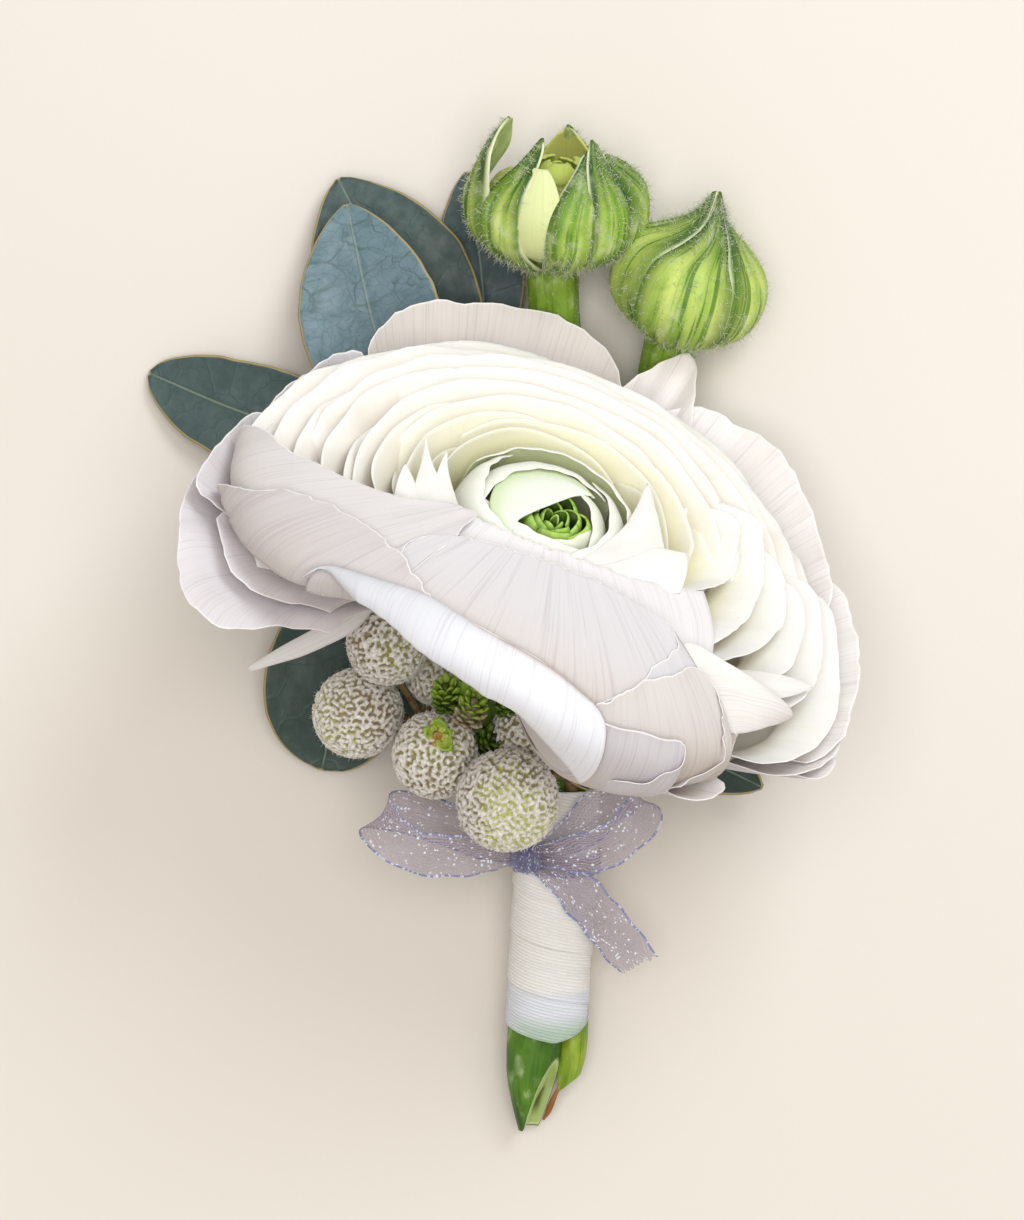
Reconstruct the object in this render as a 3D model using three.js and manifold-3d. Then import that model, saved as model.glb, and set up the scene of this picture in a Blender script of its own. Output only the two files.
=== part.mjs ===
// Boutonniere of one ranunculus, two buds, eucalyptus and brunia, lying on its back.
// Millimetres, +Z up. +Y runs from the cut stems to the buds. The stems, the buds and the
// lowest leaves rest on z = 0, and the flower faces up and towards +Y.
import * as THREE from 'three';
import { mergeVertices } from 'three/addons/utils/BufferGeometryUtils.js';
import Module from 'manifold-3d';

const wasm = await Module();
wasm.setup();

// Where the working origin lies, so that the exported origin is under the middle of the box.
const PLACE = new THREE.Vector3(2.12, 2.36, -0.04);
const GAP = 0.3; // clearance between pieces that touch

// The flower: receptacle, tilt from upright and turn about +Z.
const FLOWER_BASE = new THREE.Vector3(-3.1, -5.1, 28.9);
const FLOWER_TILT = THREE.MathUtils.degToRad(46);
const FLOWER_TURN = THREE.MathUtils.degToRad(24);
const COLUMN_RADIUS = 2.2;
const SEAT_RADIUS = COLUMN_RADIUS + GAP + 0.2;
const PETAL_THICKNESS = 0.4;
const LAYER = 1.3; // depth from one petal layer to the next

// The cupped outer petals follow one round shell, pressed flatter at the front.
const BELLY_RADIUS = 41;
const BELLY_HEIGHT = 17;
const CROWN_HEIGHT = 30.2;
const FRONT_SQUASH = 11;
// Over the brunia the cup is tucked in: its flank runs up straight to a higher belly.
const TUCK = { middle: 260, full: 16, reach: 58, radius: 2.4, height: 5 };

// The bundle of stems inside the wrap.
const BUNDLE_START = new THREE.Vector3(4.35, -54.5, 5.45);
const BUNDLE_ALONG = new THREE.Vector3(0.055, 1, 0.19).normalize();
const WRAP_LENGTH = 33;
const WRAP_RADIUS = 5.35;
const WRAP_THICKNESS = 0.35;

const RIBBON_WIDTH = 5.6;
const RIBBON_THICKNESS = 0.4;

const MATERIALS = {
  petal: new THREE.MeshStandardMaterial({ color: 0xf3efe8, roughness: 0.6, metalness: 0 }),
  heart: new THREE.MeshStandardMaterial({ color: 0xf1efc4, roughness: 0.6, metalness: 0 }),
  eye: new THREE.MeshStandardMaterial({ color: 0x7f9a34, roughness: 0.6, metalness: 0 }),
  stem: new THREE.MeshStandardMaterial({ color: 0x5d8a2c, roughness: 0.5, metalness: 0 }),
  sepal: new THREE.MeshStandardMaterial({ color: 0x86ad45, roughness: 0.6, metalness: 0 }),
  core: new THREE.MeshStandardMaterial({ color: 0xd8dd97, roughness: 0.6, metalness: 0 }),
  leaf: new THREE.MeshStandardMaterial({ color: 0x4d6a68, roughness: 0.5, metalness: 0 }),
  twig: new THREE.MeshStandardMaterial({ color: 0x77693f, roughness: 0.7, metalness: 0 }),
  brunia: new THREE.MeshStandardMaterial({ color: 0xb9b8a4, roughness: 0.8, metalness: 0 }),
  organza: new THREE.MeshStandardMaterial({ color: 0x9a9dc0, roughness: 0.4, metalness: 0 }),
  crepe: new THREE.MeshStandardMaterial({ color: 0xf2ede2, roughness: 0.8, metalness: 0 }),
};

const object = new THREE.Group();
object.position.copy(PLACE);

function addMesh(parent, name, geometry, material) {
  const mesh = new THREE.Mesh(geometry, material);
  mesh.name = name;
  parent.add(mesh);
  return mesh;
}

const lerp = THREE.MathUtils.lerp;
const vec = (x, y, z) => new THREE.Vector3(x, y, z);

// ---------- closed solids from grids, tubes and profiles ----------

function signedVolume(points, faces) {
  let sum = 0;
  for (const [a, b, c] of faces) {
    sum += points[a].dot(points[b].clone().cross(points[c])) / 6;
  }
  return sum;
}

function closedGeometry(points, faces) {
  const outward = signedVolume(points, faces) > 0;
  const geometry = new THREE.BufferGeometry();
  const index = faces.flatMap(([a, b, c]) => (outward ? [a, b, c] : [a, c, b]));
  geometry.setAttribute('position', new THREE.Float32BufferAttribute(points.flatMap((p) => p.toArray()), 3));
  geometry.setIndex(index);
  return geometry;
}

function gridNormal(grid, i, j, ring) {
  const last = grid[0].length - 1;
  const left = ring ? (j + last) % (last + 1) : Math.max(j - 1, 0);
  const right = ring ? (j + 1) % (last + 1) : Math.min(j + 1, last);
  const across = grid[i][right].clone().sub(grid[i][left]);
  const along = grid[Math.min(i + 1, grid.length - 1)][j].clone().sub(grid[Math.max(i - 1, 0)][j]);
  return across.cross(along).normalize();
}

// A sheet of even thickness behind the grid; a ring grid closes on itself sideways.
function sheetSolid(grid, thickness, ring = false) {
  const rows = grid.length;
  const cols = grid[0].length;
  const back = grid.map((row, i) =>
    row.map((p, j) => p.clone().addScaledVector(gridNormal(grid, i, j, ring), -thickness)));
  const points = [...grid.flat(), ...back.flat()];
  const front = (i, j) => i * cols + (j % cols);
  const rear = (i, j) => rows * cols + front(i, j);
  const faces = [];
  const quad = (a, b, c, d) => faces.push([a, b, c], [a, c, d]);
  const spans = ring ? cols : cols - 1;
  for (let j = 0; j < spans; j++) {
    for (let i = 0; i < rows - 1; i++) {
      quad(front(i, j), front(i, j + 1), front(i + 1, j + 1), front(i + 1, j));
      quad(rear(i, j), rear(i + 1, j), rear(i + 1, j + 1), rear(i, j + 1));
    }
    quad(front(0, j + 1), front(0, j), rear(0, j), rear(0, j + 1));
    quad(front(rows - 1, j), front(rows - 1, j + 1), rear(rows - 1, j + 1), rear(rows - 1, j));
  }
  for (let i = 0; i < rows - 1 && !ring; i++) {
    quad(front(i, 0), front(i + 1, 0), rear(i + 1, 0), rear(i, 0));
    quad(front(i + 1, cols - 1), front(i, cols - 1), rear(i, cols - 1), rear(i + 1, cols - 1));
  }
  return closedGeometry(points, faces);
}

function smoothValue(values, t) {
  const place = t * (values.length - 1);
  const i = Math.min(Math.floor(place), values.length - 2);
  const at = (k) => values[Math.min(Math.max(k, 0), values.length - 1)];
  return THREE.MathUtils.clamp(
    catmullRom(at(i - 1), at(i), at(i + 1), at(i + 2), place - i), Math.min(...values), Math.max(...values));
}

function catmullRom(a, b, c, d, t) {
  return 0.5 * (2 * b + (c - a) * t + (2 * a - 5 * b + 4 * c - d) * t * t + (3 * b - a - 3 * c + d) * t ** 3);
}

// A round stalk through the points; its first end can be cut on a slant across +X.
function stalk(points, radii, { sides = 8, steps = 12, slant = 0 } = {}) {
  const curve = new THREE.CatmullRomCurve3(points, false, 'centripetal');
  const frames = curve.computeFrenetFrames(steps, false);
  const vertices = [];
  for (let i = 0; i <= steps; i++) {
    const centre = curve.getPointAt(i / steps);
    const radius = smoothValue(radii, i / steps);
    for (let j = 0; j < sides; j++) {
      const angle = (2 * Math.PI * j) / sides;
      const out = frames.normals[i].clone().multiplyScalar(Math.cos(angle) * radius)
        .addScaledVector(frames.binormals[i], Math.sin(angle) * radius);
      const shift = i === 0 ? slant * out.x : 0;
      vertices.push(centre.clone().add(out).addScaledVector(frames.tangents[i], shift));
    }
  }
  const faces = [];
  for (let j = 0; j < sides; j++) {
    const next = (j + 1) % sides;
    for (let i = 0; i < steps; i++) {
      const [a, b] = [i * sides + j, i * sides + next];
      faces.push([a, b, b + sides], [a, b + sides, a + sides]);
    }
    if (j > 0 && j < sides - 1) {
      const top = steps * sides;
      faces.push([0, j + 1, j], [top, top + j, top + j + 1]);
    }
  }
  return closedGeometry(vertices, faces);
}

function lathed(profile, segments) {
  const geometry = new THREE.LatheGeometry(profile.map(([r, h]) => new THREE.Vector2(r, h)), segments);
  geometry.rotateX(Math.PI / 2);
  return cleaned(geometry);
}

function cleaned(geometry) {
  geometry.deleteAttribute('normal');
  geometry.deleteAttribute('uv');
  const merged = mergeVertices(geometry, 1e-4);
  const at = merged.attributes.position;
  const points = [...Array(at.count).keys()].map((i) => vec(at.getX(i), at.getY(i), at.getZ(i)));
  const index = [...merged.index.array];
  const faces = [];
  for (let k = 0; k < index.length; k += 3) {
    const [a, b, c] = index.slice(k, k + 3);
    if (a !== b && b !== c && c !== a) faces.push([a, b, c]);
  }
  return closedGeometry(points, faces);
}

function toManifold(geometry) {
  const vertProperties = new Float32Array(geometry.attributes.position.array);
  const triVerts = new Uint32Array(geometry.index.array);
  return new wasm.Manifold(new wasm.Mesh({ numProp: 3, vertProperties, triVerts }));
}

function joined(geometries) {
  const whole = geometries.map(toManifold).reduce((sum, solid) => sum.add(solid));
  const mesh = whole.getMesh();
  const geometry = new THREE.BufferGeometry();
  geometry.setAttribute('position', new THREE.BufferAttribute(new Float32Array(mesh.vertProperties), 3));
  geometry.setIndex([...mesh.triVerts]);
  return geometry;
}

function basis(origin, along, side) {
  const z = along.clone().normalize();
  const x = side.clone().addScaledVector(z, -side.dot(z)).normalize();
  return new THREE.Matrix4().makeBasis(x, z.clone().cross(x), z).setPosition(origin);
}

// ---------- the flower ----------

const flowerAxis = vec(
  Math.sin(FLOWER_TILT) * Math.sin(FLOWER_TURN), Math.sin(FLOWER_TILT) * Math.cos(FLOWER_TURN),
  Math.cos(FLOWER_TILT));
const flowerSide = vec(Math.cos(FLOWER_TURN), -Math.sin(FLOWER_TURN), 0);
const flower = new THREE.Group();
flower.applyMatrix4(basis(FLOWER_BASE, flowerAxis, flowerSide));
object.add(flower);

const radians = (degrees) => (degrees * Math.PI) / 180;
const frontness = (degrees) => Math.max(0, -Math.sin(radians(degrees)));
function tuck(degrees) {
  return 1 - THREE.MathUtils.smoothstep(Math.abs(degrees - TUCK.middle), TUCK.full, TUCK.reach);
}
const shellRadius = (degrees, depth) =>
  BELLY_RADIUS - FRONT_SQUASH * frontness(degrees) ** 2 - TUCK.radius * tuck(degrees) - depth;
const bellyHeight = (degrees) => BELLY_HEIGHT + TUCK.height * tuck(degrees);

// Height above the seat, as a share of the belly height, at a turn up the flank of the cup.
const flank = (degrees, turn) => lerp(1 - Math.cos(turn), Math.sin(turn) ** 0.9, tuck(degrees));

// rise 0 is the seat on the column, 0.5 the belly of the cup and 1 the crown.
function shellPoint(degrees, rise, depth) {
  const radius = shellRadius(degrees, depth);
  const belly = bellyHeight(degrees);
  const seat = 0.8 * (1 + depth);
  let r;
  let h;
  if (rise <= 0.5) {
    const turn = rise * Math.PI;
    r = SEAT_RADIUS + (radius - SEAT_RADIUS) * Math.sin(turn) ** 0.9;
    h = seat + (belly - seat) * flank(degrees, turn);
  } else {
    const turn = (rise - 0.5) * Math.PI;
    r = radius * Math.cos(turn);
    h = belly + (CROWN_HEIGHT - 0.75 * depth - belly) * Math.sin(turn) ** 0.85;
  }
  return vec(r * Math.cos(radians(degrees)), r * Math.sin(radians(degrees)), h);
}

// How far a petal has spread to its full width at a share of its length.
const petalSpread = (share) => 0.25 + 0.75 * Math.sin(Math.min(1, share / 0.55) * Math.PI / 2);

// A petal runs over an arc of the shell; rises are its rim heights from one end to the other.
function petalGrid({ arc, rises, layer, flare = 0 }) {
  const depth = layer * LAYER;
  const cols = Math.max(4, Math.round((arc[1] - arc[0]) / 11));
  const rows = 1 + Math.round(14 * Math.max(...rises));
  const middle = (arc[0] + arc[1]) / 2;
  const grid = [];
  for (let i = 0; i <= rows; i++) {
    const share = i / rows;
    grid.push([...Array(cols + 1).keys()].map((j) => {
      const degrees = middle + (lerp(arc[0], arc[1], j / cols) - middle) * petalSpread(share);
      const point = shellPoint(degrees, share * smoothValue(rises, j / cols), depth);
      const outward = vec(point.x, point.y, 0).setLength(1);
      return point.addScaledVector(outward, flare * share ** 5);
    }));
  }
  return grid;
}

// The rim of the folded petal turns over and hangs outside it.
function foldedPetalGrid(petal) {
  const grid = petalGrid(petal);
  const crease = grid.at(-1);
  const cols = crease.length - 1;
  const fold = (out, drop) => crease.map((p, j) => {
    const degrees = lerp(petal.arc[0], petal.arc[1], j / cols);
    const rise = smoothValue(petal.rises, j / cols) - drop * smoothValue(petal.flap, j / cols);
    return shellPoint(degrees, rise, petal.layer * LAYER - out);
  });
  const turned = [[0.75, -0.06], [1.5, 0.05], [1.6, 0.35], [1.6, 0.7], [1.5, 1]];
  return [...grid, ...turned.map(([out, drop]) => fold(out, drop))];
}

// Layers count inwards; negative layers are the spread guard petals.
const PETALS = {
  guard_left_outer: { arc: [190, 222], rises: [0.47, 0.46, 0.42, 0.36], layer: -2, flare: 1 },
  guard_left_inner: { arc: [201, 219], rises: [0.46, 0.47, 0.42], layer: -1 },
  guard_upper_left: { arc: [166, 198], rises: [0.48, 0.5, 0.5, 0.48], layer: 0 },
  guard_upper_left_inner: { arc: [141, 172], rises: [0.49, 0.5, 0.5, 0.48], layer: 1 },
  guard_top: { arc: [84, 139], rises: [0.45, 0.49, 0.5, 0.49, 0.46], layer: -1, flare: 1.5 },
  guard_top_pointed: { arc: [66, 95], rises: [0.43, 0.53, 0.43], layer: -2, flare: 1.6 },
  guard_right_upper: { arc: [20, 79], rises: [0.46, 0.49, 0.5, 0.49, 0.46], layer: -1, flare: 0.8 },
  guard_right: { arc: [-6, 34], rises: [0.43, 0.46, 0.48, 0.45], layer: -2, flare: 0.8 },
  guard_lower_right: { arc: [332, 363], rises: [0.38, 0.42, 0.45, 0.42], layer: -1 },
  front_lower_petal: { arc: [305, 320], rises: [0.54, 0.61, 0.62, 0.55], layer: 0 },
  front_left_petal: { arc: [192, 247], rises: [0.58, 0.67, 0.74, 0.77, 0.76, 0.7], layer: 1 },
  front_right_petal: { arc: [300, 333], rises: [0.66, 0.71, 0.74, 0.6], layer: 1 },
  front_left_inner_petal: { arc: [194, 220], rises: [0.7, 0.77, 0.83, 0.84], layer: 2 },
  front_big_petal: { arc: [232, 328], rises: [0.74, 0.85, 0.87, 0.88, 0.87, 0.84, 0.74], layer: 2 },
  front_side_petal: { arc: [331, 350], rises: [0.64, 0.73, 0.72, 0.6], layer: 2 },
  front_inner_petal: { arc: [200, 365], rises: [0.68, 0.86, 0.89, 0.9, 0.9, 0.88, 0.84, 0.76], layer: 3 },
};
const FOLDED_PETAL = { arc: [227, 303], rises: [0.65, 0.71, 0.72, 0.71, 0.64], layer: -0.15,
  flap: [0.02, 0.08, 0.11, 0.14, 0.2] };
const BACK_PETALS = { count: 4, from: 8, span: 47, between: 1.5, rise: 0.5, layer: 3 };
const WHORLS = { radii: [33, 26, 19.5, 14, 7.5], seat: 5.1, step: 1.05 };

function addPetals() {
  for (const [name, petal] of Object.entries(PETALS)) {
    addMesh(flower, name, sheetSolid(petalGrid(petal), PETAL_THICKNESS), MATERIALS.petal);
  }
  const folded = sheetSolid(foldedPetalGrid(FOLDED_PETAL), PETAL_THICKNESS);
  addMesh(flower, 'front_folded_petal', folded, MATERIALS.petal);
  const { count, from, span, between, rise, layer } = BACK_PETALS;
  for (let k = 0; k < count; k++) {
    const start = from + k * span;
    const petal = { arc: [start, start + span - between], rises: [rise - 0.03, rise, rise, rise - 0.03], layer };
    addMesh(flower, `back_petal_${k + 1}`, sheetSolid(petalGrid(petal), PETAL_THICKNESS), MATERIALS.petal);
  }
}

// The rims of the inner whorls lie on a low dome that dips towards the eye.
const domeHeight = (r) => (r > 12 ? 27.1 - 10.3 * ((r - 12) / 25.5) ** 2 : 27.1 - 0.31 * (12 - r));

// Height under the front petals at a radius.
function coverHeight(degrees, r) {
  const depth = WHORL_COVER_LAYER * LAYER;
  const belly = bellyHeight(degrees);
  const turn = Math.acos(Math.min(1, r / shellRadius(degrees, depth)));
  return belly + (CROWN_HEIGHT - 0.75 * depth - belly) * Math.sin(turn) ** 0.85;
}
const WHORL_COVER_LAYER = 3.8;
const WHORL_BELLY = 0.7; // share of the petal length at which a whorl is widest

function whorlGrid(k) {
  const cols = 21 - 2 * k;
  const rows = 6;
  const seat = WHORLS.seat + WHORLS.step * k;
  const inset = SEAT_RADIUS + GAP;
  const grid = [];
  for (let i = 0; i <= rows; i++) {
    const share = i / rows;
    grid.push([...Array(cols).keys()].map((j) => {
      const degrees = (360 * j) / cols;
      const front = frontness(degrees) ** 2;
      const open = WHORLS.radii[k] * (1 - (0.15 + 0.003 * WHORLS.radii[k]) * front);
      const cover = shellRadius(degrees, WHORL_COVER_LAYER * LAYER) - 1.6 * k;
      const radius = Math.min(open, cover - 1.8 * tuck(degrees));
      const top = front > 0 ? Math.min(domeHeight(radius), coverHeight(degrees, radius)) : domeHeight(radius);
      const turn = (Math.min(1, share / WHORL_BELLY) * Math.PI) / 2;
      const lean = Math.max(0, share - WHORL_BELLY) / (1 - WHORL_BELLY);
      const belly = Math.min(bellyHeight(degrees), top - 1.2);
      const r = (inset + (radius - inset) * Math.sin(turn) ** 0.9) * (1 - 0.03 * lean);
      const h = seat + (belly - seat) * flank(degrees, turn) + (top - belly) * lean;
      return vec(r * Math.cos(radians(degrees)), r * Math.sin(radians(degrees)), h);
    }));
  }
  return grid;
}

function addHeart() {
  WHORLS.radii.forEach((_, k) => {
    addMesh(flower, `inner_whorl_${k + 1}`, sheetSolid(whorlGrid(k), PETAL_THICKNESS, true), MATERIALS.heart);
  });
  const eye = [[0, 11], [1.8, 11.3], [2.6, 14], [3.2, 19], [2.9, 23], [1.6, 24.6], [0, 25]];
  addMesh(flower, 'flower_eye', lathed(eye, 12), MATERIALS.eye);
  const calyx = [[2.5, -4.1], [5, -4.4], [7.6, -3.6], [7.7, -3.2], [5, -3.8], [2.5, -3.5], [2.5, -4.1]];
  addMesh(flower, 'calyx', lathed(calyx, 15), MATERIALS.sepal);
}

// ---------- the bundle of stems ----------

const bundleAcross = vec(1, 0, 0).addScaledVector(BUNDLE_ALONG, -BUNDLE_ALONG.x).normalize();
const bundleUp = bundleAcross.clone().cross(BUNDLE_ALONG);
const bundle = (s, across, up) => BUNDLE_START.clone().addScaledVector(BUNDLE_ALONG, s)
  .addScaledVector(bundleAcross, across).addScaledVector(bundleUp, up);
const onFlowerAxis = (h) => FLOWER_BASE.clone().addScaledVector(flowerAxis, h);

const FLOWER_STEM = { across: -1.6, up: 0.1, radius: 3.05, neck: 2.5 };
const BUD_STEM = { across: 3.15, up: -0.2, radius: 1.5 };
const EUCALYPTUS_STEM = { across: 1.3, up: -3.5, radius: 0.8 };
const BRUNIA_STEM = { across: 1.3, up: 3.5, radius: 0.8 };
const inBundle = ({ across, up }, s) => bundle(s, across, up);

function addFlowerStem() {
  const path = [
    inBundle(FLOWER_STEM, -9.5), inBundle(FLOWER_STEM, 0), inBundle(FLOWER_STEM, 12),
    inBundle(FLOWER_STEM, 24), inBundle(FLOWER_STEM, WRAP_LENGTH - 1), inBundle(FLOWER_STEM, WRAP_LENGTH + 1),
    vec(1.4, -18, 14),
    vec(-3, -15, 15.8), vec(-4.8, -11.3, 20.8), onFlowerAxis(-5),
  ];
  const { radius, neck } = FLOWER_STEM;
  const lower = stalk(path, [radius, radius, radius, radius, radius, neck, neck],
    { sides: 10, steps: 15, slant: 1.5 });
  const column = stalk([onFlowerAxis(-7), onFlowerAxis(2), onFlowerAxis(10.6)],
    [COLUMN_RADIUS, COLUMN_RADIUS], { sides: 10, steps: 2 });
  addMesh(object, 'flower_stem', joined([lower, column]), MATERIALS.stem);
}

function addWrap() {
  const inner = WRAP_RADIUS - WRAP_THICKNESS;
  const profile = [[WRAP_RADIUS, 0], [WRAP_RADIUS, WRAP_LENGTH], [inner, WRAP_LENGTH], [inner, 0], [WRAP_RADIUS, 0]];
  const wrap = addMesh(object, 'stem_wrap', lathed(profile, 24), MATERIALS.crepe);
  wrap.applyMatrix4(basis(BUNDLE_START, BUNDLE_ALONG, bundleAcross));
}

// ---------- the buds ----------

const OPENING_BUD = {
  base: vec(5.2, 44.7, 7.8), along: vec(0.06, 0.92, 0.37), sepals: 5, turn: 18,
  outline: [[1.3, 0], [6.6, 1.6], [10.2, 4.6], [11, 8.5], [10, 12], [7.8, 14.8], [6.6, 17.6]],
  core: [[0, 1.7], [5.2, 3.2], [8.5, 6], [9.2, 9], [7.7, 12.6], [4.2, 15.4], [0, 16.8]],
};
const CLOSED_BUD = {
  base: vec(20.7, 35.6, 6.7), along: vec(0.27, 0.87, 0.39), sepals: 4, turn: 30,
  outline: [[1.3, 0], [5.8, 1.4], [8.8, 4.2], [9.5, 8], [8, 11.5], [4.4, 14.3], [2.3, 17], [1.5, 20]],
  core: [[0, 1.7], [4.6, 3], [7.3, 5.5], [7.7, 8.2], [5.9, 10.8], [2.6, 12.8], [0, 13.8]],
};
const SEPAL_THICKNESS = 0.8;

function sepalGrid(outline, from, to) {
  const cols = 4;
  return outline.map(([r, h], i) => {
    const taper = i / (outline.length - 1);
    const narrow = taper < 0.7 ? 1 : 1 - 0.75 * ((taper - 0.7) / 0.3);
    const margin = THREE.MathUtils.radToDeg(Math.asin(Math.min(0.9, (0.9 * GAP) / r)));
    const width = (to - from - 2 * margin) * narrow;
    return [...Array(cols + 1).keys()].map((j) => {
      const degrees = (from + to) / 2 + width * (j / cols - 0.5);
      return vec(r * Math.cos(radians(degrees)), r * Math.sin(radians(degrees)), h);
    });
  });
}

function addBud(name, bud) {
  const group = new THREE.Group();
  group.applyMatrix4(basis(bud.base, bud.along, vec(1, 0, 0)));
  object.add(group);
  const span = 360 / bud.sepals;
  for (let k = 0; k < bud.sepals; k++) {
    const from = bud.turn + k * span;
    const sepal = sheetSolid(sepalGrid(bud.outline, from, from + span), SEPAL_THICKNESS);
    addMesh(group, `${name}_sepal_${k + 1}`, sepal, MATERIALS.sepal);
  }
  addMesh(group, `${name}_core`, lathed(bud.core, 12), MATERIALS.core);
}

function addBudStem() {
  const fork = vec(12.4, -1, 4.9);
  const end = (bud) => bud.base.clone().addScaledVector(bud.along.clone().normalize(), -GAP);
  const before = (bud) => bud.base.clone().addScaledVector(bud.along.clone().normalize(), -3.5);
  const trunk = stalk([
    inBundle(BUD_STEM, -7.3), inBundle(BUD_STEM, 0), inBundle(BUD_STEM, 16), inBundle(BUD_STEM, WRAP_LENGTH - 1),
    inBundle(BUD_STEM, WRAP_LENGTH + 1),
    vec(10.8, -14.6, 9.4), vec(12.2, -7, 6.2), fork,
  ], [1.5, 1.5, 1.5, 1.5, 1.5, 2, 2.4], { steps: 14, slant: -0.8 });
  const left = stalk([fork, vec(11, 10, 3.8), vec(7.6, 23, 3), vec(6, 33, 3.4), before(OPENING_BUD), end(OPENING_BUD)],
    [2.3, 2.8, 2.9, 2.9], { steps: 9 });
  const right = stalk([fork, vec(14.2, 9, 3.6), vec(17, 20, 2.8), vec(18.8, 27.6, 3.2), before(CLOSED_BUD), end(CLOSED_BUD)],
    [2.3, 2.5, 2.6, 2.8], { steps: 8 });
  addMesh(object, 'bud_stem', joined([trunk, left, right]), MATERIALS.stem);
}

// ---------- eucalyptus ----------

const LEAF_THICKNESS = 0.45;
const LEAVES = [
  { base: [-14.6, 25.2, 4.6], middle: [-19, 36, 7.5], tip: [-21.8, 52, 7.8], half: 9, roll: -8 },
  { base: [-12.6, 25.6, 3.6], middle: [-14.5, 39, 3.6], tip: [-22.4, 55.4, 3.4], half: 10.5, roll: 4 },
  { base: [-3.4, 32.4, 2], middle: [-4, 44, 1.4], tip: [-5.8, 56.6, 0.9], half: 5.5, roll: 0 },
  { base: [-14.8, 21, 3.4], middle: [-33, 25.6, 2.6], tip: [-47.8, 29.8, 1.2], half: 6.2, roll: 6 },
  { base: [-9.8, 2.3, 4.5], middle: [-21, -8.5, 5], tip: [-25.5, -21, 2.2], half: 9.6, roll: 0 },
  { base: [4.7, -10.2, 13.4], middle: [7.4, -16.8, 16.6], tip: [10, -22.8, 18.4], half: 3.5, roll: 0 },
  { base: [13.6, -15.6, 4.2], middle: [24, -19, 4.6], tip: [33.2, -24, 4.8], half: 4.6, roll: 0 },
];

function leafGrid({ base, middle, tip, half, roll }) {
  const curve = new THREE.CatmullRomCurve3([vec(...base), vec(...middle), vec(...tip)]);
  const [rows, cols] = [7, 4];
  const grid = [];
  for (let i = 0; i <= rows; i++) {
    const share = i / rows;
    const along = curve.getTangentAt(share);
    const across = along.clone().cross(vec(Math.sin(radians(roll)), 0, Math.cos(radians(roll)))).normalize();
    const lift = across.clone().cross(along);
    const width = Math.max(0.5, half * Math.sin(Math.PI * share ** 0.9) ** 0.65);
    grid.push([...Array(cols + 1).keys()].map((j) => {
      const side = (2 * j) / cols - 1;
      return curve.getPointAt(share).addScaledVector(across, side * width)
        .addScaledVector(lift, 0.12 * width * side * side);
    }));
  }
  return grid;
}

function addEucalyptus() {
  const { radius } = EUCALYPTUS_STEM;
  const twig = (points, r, steps = 6) => stalk(points, [r, r, 0.85 * r], { sides: 6, steps });
  const stem = joined([
    twig([inBundle(EUCALYPTUS_STEM, 2), inBundle(EUCALYPTUS_STEM, 18), inBundle(EUCALYPTUS_STEM, WRAP_LENGTH + 1),
      vec(3.4, -14, 7), vec(-3, -5, 5.6), vec(-9, 3, 4.6), vec(-12, 14, 4), vec(-13.8, 24.6, 4)], radius, 16),
    twig([vec(-9, 3, 4.6), vec(-5.4, 14, 3.2), vec(-3.5, 24, 2.4), vec(-3.4, 32, 2.1)], radius),
    twig([vec(3.8, -14.6, 7.1), vec(4.4, -12, 9), vec(4.7, -10.7, 12.5)], 0.7 * radius, 4),
    twig([inBundle(EUCALYPTUS_STEM, WRAP_LENGTH + 1), vec(9.6, -18.4, 6), vec(12.9, -15.5, 4.3)], 0.8 * radius, 4),
  ]);
  addMesh(object, 'eucalyptus_stem', stem, MATERIALS.twig);
  LEAVES.forEach((leaf, k) => {
    addMesh(object, `eucalyptus_leaf_${k + 1}`, sheetSolid(leafGrid(leaf), LEAF_THICKNESS), MATERIALS.leaf);
  });
}

// ---------- brunia ----------

const BRUNIA_HEADS = [
  { centre: [-15.7, -4.2, 21.5], radius: 5.3 },
  { centre: [-19.6, -13.1, 15.5], radius: 5.8 },
  { centre: [-9.6, -18.3, 22], radius: 5.6 },
  { centre: [-0.6, -23.8, 29.5], radius: 6.5 },
  { centre: [2.3, -15.8, 21.8], radius: 5 },
  { centre: [-9.1, -7.6, 14], radius: 4.8 },
];

function addBrunia() {
  const { radius } = BRUNIA_STEM;
  const hub = vec(-6.4, -18, 14.6);
  const end = vec(-11.2, -14, 12.2);
  const seat = ({ centre, radius: r }, from) => {
    const middle = vec(...centre);
    return middle.clone().addScaledVector(from.clone().sub(middle).normalize(), r + GAP);
  };
  const twig = (points, r, steps = 5) => stalk(points, [r, r], { sides: 6, steps });
  const [upper, left, middle, front, right, hidden] = BRUNIA_HEADS;
  const thin = 0.6 * radius;
  const parts = [
    twig([inBundle(BRUNIA_STEM, 4), inBundle(BRUNIA_STEM, 18), inBundle(BRUNIA_STEM, WRAP_LENGTH + 0.6),
      vec(3, -21, 17.6), vec(-2.4, -20.6, 17.2), hub, end], radius, 14),
    twig([end, vec(-14.1, -9.4, 16.2), seat(upper, vec(-14.1, -9.4, 16.2))], thin),
    twig([end, seat(left, end)], thin, 2),
    twig([hub, seat(middle, hub)], thin, 2),
    twig([vec(-2.4, -20.6, 17.2), seat(front, vec(-2.4, -20.6, 17.2))], thin, 2),
    twig([vec(3, -21, 17.6), seat(right, vec(3, -21, 17.6))], thin, 2),
    twig([end, seat(hidden, end)], thin, 2),
  ];
  addMesh(object, 'brunia_stem', joined(parts), MATERIALS.twig);
  BRUNIA_HEADS.forEach(({ centre, radius: r }, k) => {
    const head = addMesh(object, `brunia_head_${k + 1}`, cleaned(new THREE.SphereGeometry(r, 12, 8)), MATERIALS.brunia);
    head.position.set(...centre);
  });
}

// ---------- the bow ----------

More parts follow.
